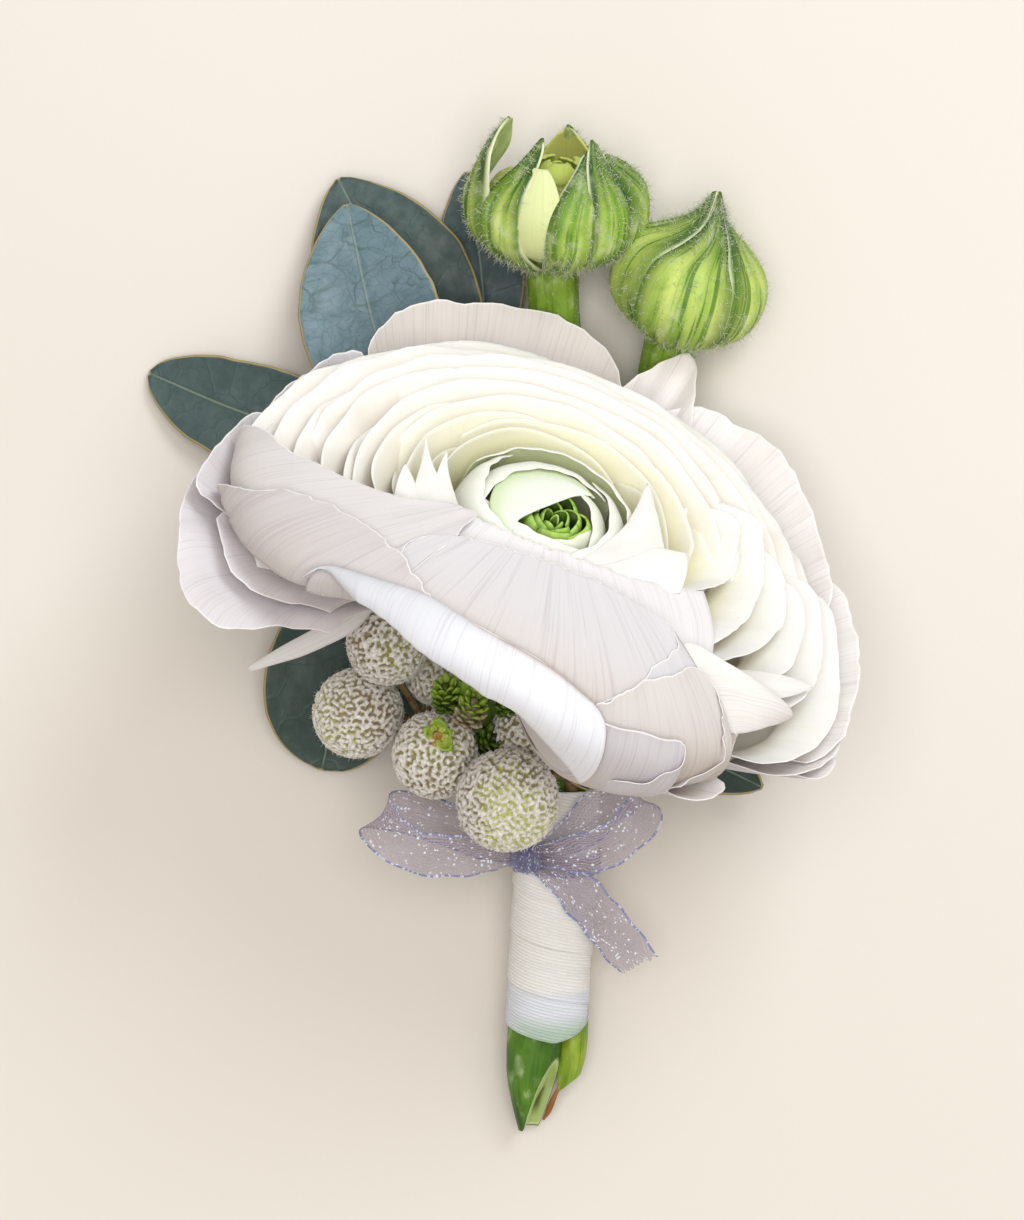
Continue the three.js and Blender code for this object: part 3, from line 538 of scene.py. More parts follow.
def shell_radius(degrees, depth):
    front = np.maximum(0, -np.sin(np.radians(degrees)))
    return 41 - 11 * front ** 2 - TUCK["radius"] * tuck(degrees) - depth


def belly_height(degrees):
    return 17 + TUCK["height"] * tuck(degrees)


def crown_height(belly, depth, over):
    return belly + (CROWN - 0.75 * depth - belly) * np.sin(over) ** 0.85


def recess(degrees, rise):
    """How far the cup draws in under the flap, where the brunia nestles."""
    under = ease(degrees, 220, 236) * (1 - ease(degrees, 295, 303))
    depth = 4.2 + 1.6 * ease(degrees, 250, 270)
    return depth * under * (1 - ease(rise, 0.46, 0.64)) * ease(rise, 0.0, 0.25)


def flank(degrees, turn):
    """Share of the height reached on the way up; the front left is flatter."""
    flat = 1 - ease(np.abs(degrees - 240), 34, 66)
    return lerp(1 - np.cos(turn), np.abs(np.sin(turn)) ** 0.62, flat)


def flare_out(radius, turn, start=SEAT_RADIUS):
    return start + (radius - start) * np.sin(turn) ** 0.9


def shell(degrees, rise, depth):
    """Radius and height on the cup: rise 0 is the seat, 0.5 the belly and 1 the crown."""
    radius, belly, seat = shell_radius(degrees, depth), belly_height(degrees), 0.8 * (1 + depth)
    turn = np.minimum(rise, 0.5) * math.pi
    over = (np.maximum(rise, 0.5) - 0.5) * math.pi
    low_h = seat + (belly - seat) * flank(degrees, turn)
    r = np.where(rise > 0.5, radius * np.cos(over), flare_out(radius, turn)) - recess(degrees, rise)
    return r, np.where(rise > 0.5, crown_height(belly, depth, over), low_h)


def shell_point(degrees, rise, depth):
    return flower_point(degrees, *shell(degrees, rise, depth))


def dome_height(r):
    return np.where(r > 12, 27.1 - 10.3 * ((r - 12) / 25.5) ** 2, 27.1 - 0.31 * (12 - r))


def petal_shares(rows):
    """Shares of a petal's length, closer together towards its rim."""
    return (1 - (1 - np.linspace(0, 1, rows + 1)) ** 1.4)[:, None]


def petal_spread(v):
    return 0.25 + 0.75 * np.sin(np.minimum(1, v / 0.55) * math.pi / 2)


def fan_out(deg, spread, middle=None):
    middle = (deg.min() + deg.max()) / 2 if middle is None else middle
    return middle + (deg - middle) * spread


def wall_and_lip(v, share):
    """The quarter turn up to a share of the petal, and how far along the rest."""
    return np.minimum(1, v / share) * math.pi / 2, np.maximum(0, v - share) / (1 - share)


def rim_line(outline, weights, spacing=1.1):
    """An outline's numbers at even steps, and those steps' places in millimetres."""
    outline = np.array([(*p, 0.0)[:3] for p in outline], float)
    length = steps(outline * weights).sum()
    cols = max(12, int(length / spacing))
    return (*spline(outline, cols, weights).T, np.linspace(0, length, cols))


def below_rim(grid):
    """Distance from each point of a petal up to its rim."""
    lengths = steps(grid)
    return np.vstack((lengths[::-1].cumsum(0)[::-1], np.zeros((1, grid.shape[1]))))


def finish_petal(shape, grid, v, seed, outer, inner, thick=SHELL_THICKNESS):
    """Adds a petal with its pattern place: across its rim and along it, in millimetres."""
    across = run(steps(grid[-1]))
    along = np.vstack((np.zeros((1, grid.shape[1])), steps(grid).cumsum(0)))
    sideways = np.minimum(across, across[-1] - across) * (0.3 + 0.7 * v)
    edge = np.minimum(along[-1] - along, sideways)
    thin = np.minimum(1, 0.45 + 0.2 * edge) * thick
    sheet(shape, grid, thin, outer, places(across[None], along, seed), edge, tint_back=inner)


def petal(shape, outline, layer, seed, ragged, tip, base=LOWER_PETAL_SHADE, fan=None):
    """A petal that fans out over the cup from its claw to an outline of (degrees, rise, lift off the cup)."""
    deg, rise, lift, x = rim_line(outline, (0.7, 100, 0))
    tear = ripple(seed, 0.25, 0.7, x) + 0.6 * ripple(seed + 1, 0.05, 0.18, x)
    rise = rise + 0.0032 * ragged * tear
    v = petal_shares(30)
    degrees = fan_out(deg, petal_spread(v) if fan is None else 0.2 + 0.8 * v ** fan)
    depth = layer * LAYER - lift * v ** 3 - 0.45 * v ** 8 - 0.4 * v ** 30
    r, h = shell(degrees, v * rise, depth)
    wave = ripple(seed + 2, 0.06, 0.16, x[None], v * 14) * v ** 3 + ripple(seed + 3, 0.1, 0.3, x) * v ** 14
    # Painted shade: the petal darkens from its rim colour to the base colour low down, where the petal in front
    # shades it.
    tint = blend(base, tip, ease(v, 0.45, 0.95) + 0 * deg)
    finish_petal(shape, flower_point(degrees, r + 0.22 * wave, h), v, seed, tint, tint)


def guard(shape, outline, seed, flare, inner, claw=None):
    """An open petal whose outline is given as (degrees, radius, height); claw turns its narrow lower part."""
    outline = outline if outline[0][0] < outline[-1][0] else outline[::-1]
    deg, rim_r, rim_h, x = rim_line(outline, (0.7, 1, 1))
    rim_r = rim_r + 0.08 * ripple(seed, 0.25, 0.7, x) + 0.125 * ripple(seed + 1, 0.05, 0.16, x)
    v = petal_shares(24)
    degrees = fan_out(deg, petal_spread(v) if claw is None else 0.2 + 0.8 * v ** 0.8, claw)
    turn = v * math.pi / 2
    r = flare_out(rim_r - flare, turn) + flare * v ** 4
    wave = ripple(seed + 2, 0.05, 0.14, x[None], v * 10) * v ** 3
    wave = wave + 0.7 * ripple(seed + 3, 0.12, 0.35, x) * v ** 12
    h = 0.8 + (rim_h - 0.8) * flank(degrees, turn) + 0.3 * wave
    finish_petal(shape, flower_point(degrees, r, h), v, seed, WHITE, inner)


def bowl(shape, outline, seed, deep):
    """An inner petal that stands open: its outline is (degrees, radius, height) of its rim."""
    open_out, drop, seat = 6.0, 3.6, 5.0
    deg, rim_r, rim_h, x = rim_line(outline[::-1], (0.5, 1, 1), 0.9)
    rim_r = rim_r + 0.1 * ripple(seed, 0.25, 0.7, x) + 0.15 * ripple(seed + 1, 0.05, 0.16, x)
    v = petal_shares(26)
    degrees = fan_out(deg, petal_spread(v))
    turn, lean = wall_and_lip(v, 0.7)
    r = flare_out(rim_r - open_out, turn) + open_out * lean ** 1.25
    h = seat + (rim_h - drop - seat) * flank(degrees, turn) + drop * lean
    h = h + 0.16 * ripple(seed + 2, 0.05, 0.14, x[None], v * 12) * v ** 3
    grid = flower_point(degrees, r, h)
    depth = below_rim(grid)
    # Painted shade: the outer face greys deeper below the rim; the inner face yellows deeper down, partly the
    # petal's own colour and partly painted shade.
    outer = blend(srgb(238, 236, 234), srgb(218, 213, 213), ease(depth, 1.0, 6.0))
    inner = blend(INNER_WHITE, deep, ease(depth, 1.2, 7.0))
    finish_petal(shape, grid, v, seed, outer, inner, INNER_THICKNESS)


def petal_end(shape, left, right, seed, base, tip, at=flower_point, bulge=0.5):
    """A petal end between two margins that run from its hidden base to its tip; at places (degrees, a, b)."""
    cols, length = 34, 12
    a, b = (spline(margin, cols, (0.4, 1, 1))[None] for margin in (left, right))
    t, u = np.linspace(0, 1, 26)[:, None], np.linspace(0, 1, cols)[None]
    grid = at(*np.moveaxis(lerp(a, b, t[..., None]), -1, 0))
    width = np.linalg.norm(grid[-1] - grid[0], axis=1)
    out = grid_normals(grid)
    out = out * np.sign((out * AXIS).sum(-1).mean() + 1e-9)
    wave = 0.1 * ripple(seed, 0.1, 0.3, t * width, u * length)
    rise = (bulge * np.sin(math.pi * t) + wave) * np.minimum(1, width / 3)
    edge = np.minimum(t, 1 - t) * width
    edge = np.minimum(edge, 9 * (1 - u) + 0.02) if width[-1] > 0.5 else edge
    # Painted shade: darker towards the hidden base, where the petals in front shade it.
    tint = blend(base, tip, ease(u, 0.1, 0.8) + 0 * t)
    sheet(shape, grid + out * rise[..., None], 0.2, tint, places((t - 0.5) * width, u * length, seed), edge)


GUARDS = {
    "guard_left_outer": [(184, 38, 12.5), (188, 42, 13), (196, 43, 13), (203, 43.4, 12.6),
        (210, 43.9, 12.2), (216, 43.6, 12), (220, 41.6, 11.6), (221.5, 38.6, 11.2), (222, 33, 10.6),
        (223, 25, 9)],
    "guard_left_inner": [(196, 34, 14.5), (198, 38.6, 14.6), (205, 38.4, 14.2), (211, 38, 13.8),
        (216, 35.6, 13.4), (218, 31.6, 12.8), (219, 25, 10.5)],
    "guard_upper_left": [(200, 35, 14), (196, 41, 15.6), (192, 42.1, 16), (185, 40.8, 16.4),
        (178, 39.6, 16.4), (171, 38.4, 16), (168, 35, 14.6)],
    "guard_upper_left_inner": [(174, 32, 13), (171, 37.2, 15.4), (166, 38, 16), (158, 38.1, 16.2),
        (150, 38.6, 16), (143, 39.1, 15.6), (139, 37, 14)],
    "guard_top": [(142, 33, 12.5), (139, 38.6, 15), (134, 41.5, 16), (128, 43.6, 16.8), (117, 43.8, 17.4),
        (106, 44.3, 17.4), (99, 44.1, 17.2), (92, 42.3, 16.6), (87, 38.8, 15.2), (85, 34, 12.4)],
    "guard_top_pointed": [(90, 31, 12), (87, 37.2, 15.8), (83.5, 42.2, 17.6), (80, 46.8, 18.4),
        (78, 46, 18), (75, 42, 17.2), (71, 37.8, 15), (68, 31, 12)],
    "guard_right_upper": [(80, 34, 12.5), (77, 39.5, 15), (71, 42.6, 16), (63, 44.5, 16.4),
        (54, 44.1, 16.4), (44, 42.9, 16.2), (34, 41.6, 16), (25, 40.6, 15.6), (20, 38.6, 14.4),
        (18, 33, 12)],
    "guard_right": [(36, 33, 11), (33, 40.4, 14), (29, 42.6, 15), (21, 43.7, 15.2), (12, 44.2, 15),
        (3, 44.3, 14.6), (-4, 44.4, 14), (-9, 43, 12.6), (-12, 38, 10.5)],
    "guard_lower_right": [(366, 36.4, 10.6), (365, 42.4, 12.9), (361, 44, 12.9), (354, 44.7, 12.6),
        (348, 43, 12.3), (343.5, 40.2, 12.1), (340, 36, 11.5), (336, 32, 10.3), (334, 26.4, 8.3)],
}
EXTRA_GUARDS = {
    "guard_front_right": [(337, 30.5, 9), (334, 36.8, 11.4), (330, 38, 12.1), (327, 37.9, 12.3),
        (323, 36.8, 12.1), (320.5, 33.6, 11.2), (318, 27.8, 9)],
    "guard_right_curl": [(359, 39, 9.5), (356, 44.6, 10.8), (351.5, 45.2, 11.2), (348.5, 43.6, 11),
        (347, 40, 9.8)],
}
# Each entry is the layer, the outline, how ragged the rim is and the rim colour; the rim colours are greys that
# differ from petal to petal as painted shade.
SHELL_PETALS = {
    "front_lower_petal": (0, [(302, 0.40), (301, 0.48), (300, 0.57), (302, 0.60), (310, 0.612),
        (316, 0.612), (318.6, 0.59), (317.6, 0.55), (314, 0.51), (310, 0.475), (307, 0.45)], 0.3, WHITE),
    "front_left_petal": (1, [(191, 0.30), (193, 0.42), (196.5, 0.523), (202.5, 0.62), (204, 0.673),
        (208.5, 0.71), (214.5, 0.735), (227, 0.743), (239, 0.713), (249, 0.67), (254, 0.6), (256, 0.45),
        (256, 0.3)], 0.6, SHADED),
    "front_right_petal": (1, [(298, 0.40), (299, 0.52), (300, 0.612), (305, 0.66), (311.5, 0.703),
        (321, 0.722), (328.5, 0.732), (330.5, 0.70), (329, 0.64), (328, 0.59), (328, 0.538), (326, 0.505),
        (323, 0.46), (319, 0.40)], 0.4, srgb(218, 212, 209)),
    "front_left_inner_petal": (2, [(180, 0.36), (181, 0.50), (184, 0.605), (186.5, 0.64), (190, 0.668),
        (193, 0.693), (196, 0.723), (202, 0.768), (209.5, 0.82), (215.5, 0.872), (226, 0.88), (236, 0.80),
        (240, 0.6), (240, 0.42)], 0.4, srgb(224, 220, 220)),
    "front_big_petal": (1.8, [(246, 0.45), (247, 0.60), (240, 0.66), (232.5, 0.728), (229.5, 0.765),
        (229.5, 0.80), (236, 0.83), (247.5, 0.848), (269.5, 0.862), (291.5, 0.869), (312, 0.868),
        (324.5, 0.84), (330.5, 0.795), (326, 0.76), (318, 0.732), (309, 0.675), (301, 0.61), (298, 0.5),
        (297, 0.4)], 0.3, srgb(220, 217, 220)),
    "front_inner_petal": (3.5, [(200, 0.42), (203, 0.6), (206, 0.72), (208.5, 0.795), (211, 0.86),
        (224, 0.888), (251, 0.898), (285, 0.905), (300.5, 0.912), (316, 0.905), (328.5, 0.892),
        (344, 0.864, -0.8), (352, 0.836, -1.2), (358.5, 0.80, -1.2)], 0.3, srgb(238, 235, 236)),
}
# Painted shade: warm, darker colours for the lower parts of these petals, near the crease and under the petals
# in front.
BASE_SHADES = {
    "front_inner_petal": srgb(232, 226, 222),
    "front_big_petal": srgb(206, 188, 168),
    "front_left_inner_petal": srgb(222, 214, 208),
    "front_right_petal": srgb(206, 192, 178),
}
FRONT_SIDE = [(300, 0.42), (301, 0.60), (307, 0.70), (317, 0.755), (327.5, 0.775), (332, 0.752), (331, 0.70),
    (331, 0.62), (334, 0.55), (333, 0.50), (329, 0.42)]
RAGGED_END = [
    [(318, 0.72, 2.9), (330, 0.757, 2.9), (335.5, 0.76, 2.9), (340, 0.71, 2.7), (343.5, 0.663, 2.6),
     (347.8, 0.57, 2.6)],
    [(316, 0.50, 2.9), (324, 0.56, 2.9), (329.5, 0.59, 2.9), (333, 0.565, 2.8), (341, 0.545, 2.6),
     (349, 0.515, 2.6)]]
POINTED_END = [[(344, 28, 20.6), (349, 31, 21), (351, 32.6, 21), (354, 35.8, 20.6), (356, 38.4, 19.6)],
               [(338, 28, 19.6), (343, 31.6, 20.2), (346, 34.6, 20.2), (351, 36.8, 19.9), (356, 38.4, 19.6)]]
BOWLS = [
    [(30, 35, 15), (23, 39.2, 17), (12, 40.7, 16.4), (4, 41.9, 16), (-6, 42.7, 15.6), (-14, 41.5, 15.2),
        (-21, 38.5, 15), (-25, 35.6, 15), (-29, 32.6, 15), (-34, 30, 14)],
    [(28, 33, 18.4), (22, 36.4, 19.6), (12, 37.8, 19), (5, 38.4, 18.6), (-3, 38.5, 18.4),
        (-12, 36.6, 18.2), (-23, 34.0, 18), (-30, 31, 17)],
    [(26, 30, 20), (18, 33.6, 21.4), (10, 34.8, 21), (3, 35.0, 20.8), (-4, 34.9, 20.6), (-10, 32.9, 20.4),
        (-15, 29.3, 20.4), (-24, 25, 19.6)],
    [(32, 28, 22), (23, 30.5, 23), (12, 32.0, 22.6), (3, 31.7, 22.4), (-6, 30.3, 22.2), (-15, 28.0, 22),
        (-24, 24, 21)],
    [(42, 26, 23.4), (33, 28.9, 24.4), (26, 28.6, 24.2), (16, 28.4, 24), (3, 27.9, 23.8),
        (-10, 26.5, 23.6), (-16, 25.1, 23.4), (-24, 21, 22)],
    [(44, 22, 22.6), (34, 26, 24.4), (19, 24.6, 24.6), (9.5, 24, 24.6), (1, 21.4, 24.6), (-5, 18.4, 23.8),
        (-12, 14, 22.4)],
]
CREASE = [(226, 0.565), (226.5, 0.615), (229, 0.635), (237, 0.655), (249, 0.68), (265, 0.668),
    (279, 0.658), (290, 0.652), (299, 0.628), (301.5, 0.60)]
FLAP_EDGE = [(226.3, 0.57), (227.5, 0.612), (230, 0.615), (238, 0.592), (248, 0.575), (258, 0.545),
    (268, 0.515), (278, 0.485), (288, 0.445), (296, 0.42), (302.5, 0.385)]
HEART_ENDS = [
    ([(214, 18.4, 24.2), (207, 17.6, 25.6), (191, 16.8, 26.6), (181, 17.0, 27.2), (175, 17.7, 28)],
        [(216, 12.6, 25.0), (208, 12.2, 26), (197, 13.6, 26.5), (186, 15.6, 27.1), (175, 17.7, 28)]),
    ([(212, 20.6, 24.0), (206, 19.8, 25.3), (198, 19.3, 26.3), (191, 18.7, 27)], [(212, 16.8, 24.8),
        (206, 16.6, 25.8), (197, 17.3, 26.3), (191, 18.7, 27)]),
    ([(216, 15.8, 24.8), (209, 15.2, 25.9), (195, 14.7, 26.8), (185, 14.5, 27.2), (177, 14.4, 27.7)],
        [(216, 12.0, 25), (209, 11.8, 26), (196, 12.7, 26.8), (186, 13.6, 27.2), (177, 14.4, 27.7)]),
    ([(310, 8.4, 25.6), (326, 8.0, 26.6), (352, 8.2, 26.9), (382, 10.2, 27.1), (400, 12.6, 27.3),
        (407, 14.2, 27.5)], [(346, 17.0, 24.0), (356, 16.0, 25.2), (366, 15.0, 26.2), (377, 14.2, 26.7),
        (392, 13.8, 27.1), (407, 14.2, 27.5)]),
    ([(316, 9.4, 26.2), (333, 10.6, 26.8), (350, 11.9, 26.9), (364, 13.8, 26.8), (369, 17.7, 26.5)],
        [(314, 12.6, 24.6), (328, 14.0, 25.0), (339, 15.2, 25.3), (346, 17.0, 25.4),
        (350.5, 18.9, 25.5)]),
]


def folded_petal(shape, seed):
    """The front petal that folds outwards: its body up to the crease, then a flap over the brunia."""
    cols, weights, depth = 64, (0.7, 100), -0.15 * LAYER
    top, edge = (spline(line, cols, weights) for line in (CREASE, FLAP_EDGE))
    left = spline([(229, 0.30), (231, 0.42), (229, 0.50), CREASE[0]], 9, weights)[:-1]
    right = spline([CREASE[-1], (301, 0.5), (299, 0.4)], 7, weights)[1:]
    deg, rise = np.vstack((left, top, right)).T
    v = petal_shares(24)
    degrees = fan_out(deg, petal_spread(v))
    r, h = shell(degrees, v * rise, depth - 0.45 * np.exp(-((deg - 232) / 9) ** 2) * v ** 2)
    r = r + 0.12 * ripple(seed, 0.05, 0.12, np.arange(len(deg)), v * 12) * v ** 2
    finish_petal(shape, flower_point(degrees, r, h), v, seed, SHADED, SHADED)

    x, t = np.linspace(0, 45, cols), np.linspace(0, 1, 22)[:, None]
    width = np.minimum(1, np.abs(edge[:, 1] - top[:, 1]) / 0.06)
    turn = np.minimum(1, t * 5) * math.pi
    deg = lerp(top[:, 0], edge[:, 0], t) + 0.5 * ripple(seed + 1, 0.05, 0.14, x) * t ** 2
    rise = lerp(top[:, 1], edge[:, 1], t ** 1.15) + 0.010 * width * np.sin(turn) * (1 - t)
    pleat = 0.5 * np.exp(-((x - 27) / 1.1) ** 2) * (1 - t) ** 2
    out = 1.3 * width * np.sin(turn / 2) ** 0.8 + 0.5 * width * np.sin(math.pi * t) - pleat
    out = out + 0.22 * ripple(seed + 2, 0.04, 0.12, x[None], t * 6) * t * width
    out = out + 0.12 * ripple(seed + 3, 0.2, 0.5, x) * t ** 5
    swell = 0.3 + 0.5 * np.exp(-((deg - 232) / 9) ** 2)
    out = out * (1 - 0.6 * ease(x, 34, 45)) + swell * np.minimum(1, t * 7)
    out = np.maximum(out, 0.2 * np.minimum(1, t * 8))
    r, h = shell(deg, rise, depth - 0.2 - out)
    # Browner along the crease, from 22 to 44 mm along the flap.
    crease_brown = np.exp(-(t / 0.05) ** 2) * ease(x, 22, 27) * (1 - ease(x, 40, 44))
    # Painted light on the flap: a bluish cast stands for reflected sky, and a darker grey at its start is
    # painted shade.
    pale = blend(srgb(216, 217, 223), srgb(240, 241, 247), ease(x, 6, 36))
    outer = blend(pale, srgb(176, 122, 70), 0.75 * crease_brown)
    finish_petal(shape, flower_point(deg, r + recess(deg, rise), h)[::-1], t, seed + 1, outer[::-1], WHITE)


def heart_squash(degrees, radius):
    cover = (shell_radius(degrees, 5.2) - 1.5 * tuck(degrees)) / 35.8
    return 1 - (1 - cover) * (radius / 35.5) ** 0.7


def cover_height(degrees, r):
    """Height of the front petals above a radius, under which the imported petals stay."""
    depth = 3.8 * LAYER
    over = np.arccos(np.minimum(1, r / shell_radius(degrees, depth)))
    return crown_height(belly_height(degrees), depth, over)


def crevice(radius):
    """Colour deep between the petals: peach outside, then lemon, then lime at the heart; partly the petals' own
    colour and partly painted shade.
    """
    warm = blend(LEMON, PEACH, ease(radius, 15, 31))
    return blend(LIME, warm, ease(radius, 5, 13))


def near_right(degrees):
    """1 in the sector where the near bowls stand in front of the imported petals."""
    return 1 - ease(np.abs((np.asarray(degrees) - 347 + 180) % 360 - 180), 16, 32)


def arc_columns(centre, arc, radius, cols, v):
    """Columns of a petal round the axis: -1 to 1, degrees at the rim, millimetres and fanned degrees."""
    u = np.linspace(-1, 1, cols)
    deg = centre + u * arc / 2
    return u, deg, u * radius * math.radians(arc) / 2, fan_out(deg, petal_spread(v), centre)


def heart_petal(shape, k, centre, arc, radius, seed):
    """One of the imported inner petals; its rim lies on the low dome."""
    v = petal_shares(16)
    u, deg, x, degrees = arc_columns(centre, arc, radius, max(14, int(radius * arc / 56)), v)
    rim = radius * (1 + 0.018 * u + 0.006 * ripple(seed, 0.05, 0.12, x)) * heart_squash(deg, radius)
    top = np.minimum(dome_height(rim), cover_height(deg, rim) - 0.25)
    top = top - (2.4 + 0.05 * radius) * np.abs(u) ** 3.2 + 0.22 * ripple(seed + 1, 0.04, 0.1, x)
    top = top + 0.05 * ripple(seed + 2, 0.25, 0.6, x) + np.random.default_rng(seed).uniform(-0.25, 0.25)
    top = top - 9 * near_right(deg) * ease(radius, 14, 18)
    turn, lean = wall_and_lip(v, 0.7)
    seat, belly = 5.1 + 0.16 * k, np.minimum(belly_height(degrees), top - 1.5)
    outside = ease(radius, 10, 22)
    wall = rim - np.minimum(4.2, 0.2 * rim) * outside + 0.025 * rim * (1 - outside)
    r = flare_out(wall, turn, 3.0) + (rim - wall) * lean ** 1.7
    r = r + 0.1 * ripple(seed + 3, 0.05, 0.12, x[None], v * 9) * v ** 2
    r = r - 1.8 * ease(degrees, 224, 238) * (1 - ease(degrees, 296, 305)) * ease(r, 17, 18.5)
    h = seat + (belly - seat) * flank(degrees, turn) + (top - belly) * lean
    grid = flower_point(degrees, r, h)
    # Painted light: the deep colour grows below each rim, partly as the petals' own colour and partly as
    # painted shade, and is laid on more strongly on the lit side.
    lit = 0.62 + 0.38 * np.cos(np.radians(degrees - 40))
    share = (1 - np.exp(-below_rim(grid) / 3.4)) * (0.35 + 0.65 * lit)
    rim_tint = blend(srgb(249, 248, 222), INNER_WHITE, ease(radius, 10, 26))
    inner = blend(rim_tint, crevice(radius), 0.9 * share)
    outer = blend(INNER_WHITE, crevice(radius), 0.75 * share)
    finish_petal(shape, grid, v, seed, outer, inner, INNER_THICKNESS)


def ball_petal(shape, centre, arc, radius, seed, close, top):
    """A petal of the closed heart: up its side and over towards the eye."""
    v = petal_shares(22)
    u, deg, x, degrees = arc_columns(centre, arc, radius, max(16, int(radius * arc / 34)), v)
    squash = heart_squash(deg, radius)
    turn, over = wall_and_lip(v, 0.6)
    reach = close * (1 - 0.55 * np.abs(u) ** 2.4) + 0.012 * ripple(seed, 0.08, 0.3, x)
    bend = over * math.pi / 2 * 0.96
    seat, belly, crown = 8.5, 18.5, top - (1.5 + 0.02 * radius) * np.abs(u) ** 3
    r = flare_out(radius, turn, 2.9) * squash - radius * squash * reach * (1 - np.cos(bend))
    r = r + 0.07 * ripple(seed + 1, 0.08, 0.2, x[None], v * 8) * v
    h = seat + (belly - seat) * flank(degrees, turn) + (crown - belly) * np.sin(bend)
    # The colour turns yellower lower down the ball: partly the petals' own colour, partly painted shade in the
    # deep parts.
    deep = ease(h, 23.5, 15.0)
    pale = blend(srgb(247, 250, 228), srgb(252, 253, 246), ease(radius, 5, 11))
    warm = blend(srgb(226, 234, 150), LEMON, ease(radius, 6.5, 10.5))
    finish_petal(shape, flower_point(degrees, r, h), v, seed, blend(pale, warm, 0.85 * deep),
                 blend(srgb(240, 246, 208), warm, 0.8 * deep), 0.2)


def eye_cap(shape):
    """The petal that folds over half of the eye and ends in a straight edge."""
    u, v = np.linspace(0, 1, 40), np.linspace(0, 1, 20)[:, None]
    turn = np.radians(lerp(52, 244, u))
    ends = [r * np.array((math.cos(math.radians(d)), math.sin(math.radians(d))))
            for d, r in ((60, 5.2), (232, 4.8))]
    outside = 7.4 * np.stack((np.cos(turn), np.sin(turn)), -1)
    flat = lerp(outside[None], lerp(*ends, u[:, None])[None], v[..., None])
    x, y = np.moveaxis(flat + 0.1 * ripple(760, 0.2, 0.6, u[None] * 8, v * 5)[..., None], -1, 0)
    h = 25.9 + 1.0 * np.sin(v * math.pi * 0.56) - 0.5 * (2 * u - 1) ** 4 * v
    tint = blend(srgb(226, 240, 196), srgb(248, 252, 244), ease(v, 0.0, 0.5) + 0 * u)
    sheet(shape, flower_point(np.degrees(np.arctan2(y, x)), np.hypot(x, y), h), 0.16, tint,
          places(u * 11, v * 6, 761), 6 * (1 - v) + 0 * u, tint_back=srgb(214, 232, 160))


def build_outer_petals():
    for i, (name, outline) in enumerate({**GUARDS, **EXTRA_GUARDS}.items()):
        left = "left" in name
        inner = LEFT_GUARD_SHADE if left else TOP_GUARD_SHADE if name == "guard_top" else RIGHT_GUARD
        nodes = [name] if name in GUARDS else []
        with piece("petal_" + name, PETAL, "petal", *nodes) as shape:
            claw = 190 if name.startswith("guard_left") else None
            guard(shape, outline, 40 + 7 * i, 3.0 if left else 6.0, inner, claw)
    for i, (name, (layer, outline, ragged, tip)) in enumerate(SHELL_PETALS.items()):
        with piece("petal_" + name, PETAL, "petal", name) as shape:
            fan = 3.0 if name == "front_inner_petal" else None
            petal(shape, outline, layer, 140 + 7 * i, ragged, tip, BASE_SHADES.get(name, LOWER_PETAL_SHADE), fan)
    with piece("petal_front_side", PETAL, "petal", "front_side_petal") as shape:
        petal(shape, FRONT_SIDE, 2.9, 200, 0.3, srgb(228, 220, 214))
        petal_end(shape, *RAGGED_END, 215, srgb(238, 233, 228), srgb(243, 240, 237), shell_point, 0.3)
        petal_end(shape, *POINTED_END, 226, srgb(236, 232, 228), srgb(242, 239, 237), bulge=0.3)
    with piece("petal_front_folded", PETAL, "petal", "front_folded_petal") as shape:
        folded_petal(shape, 230)


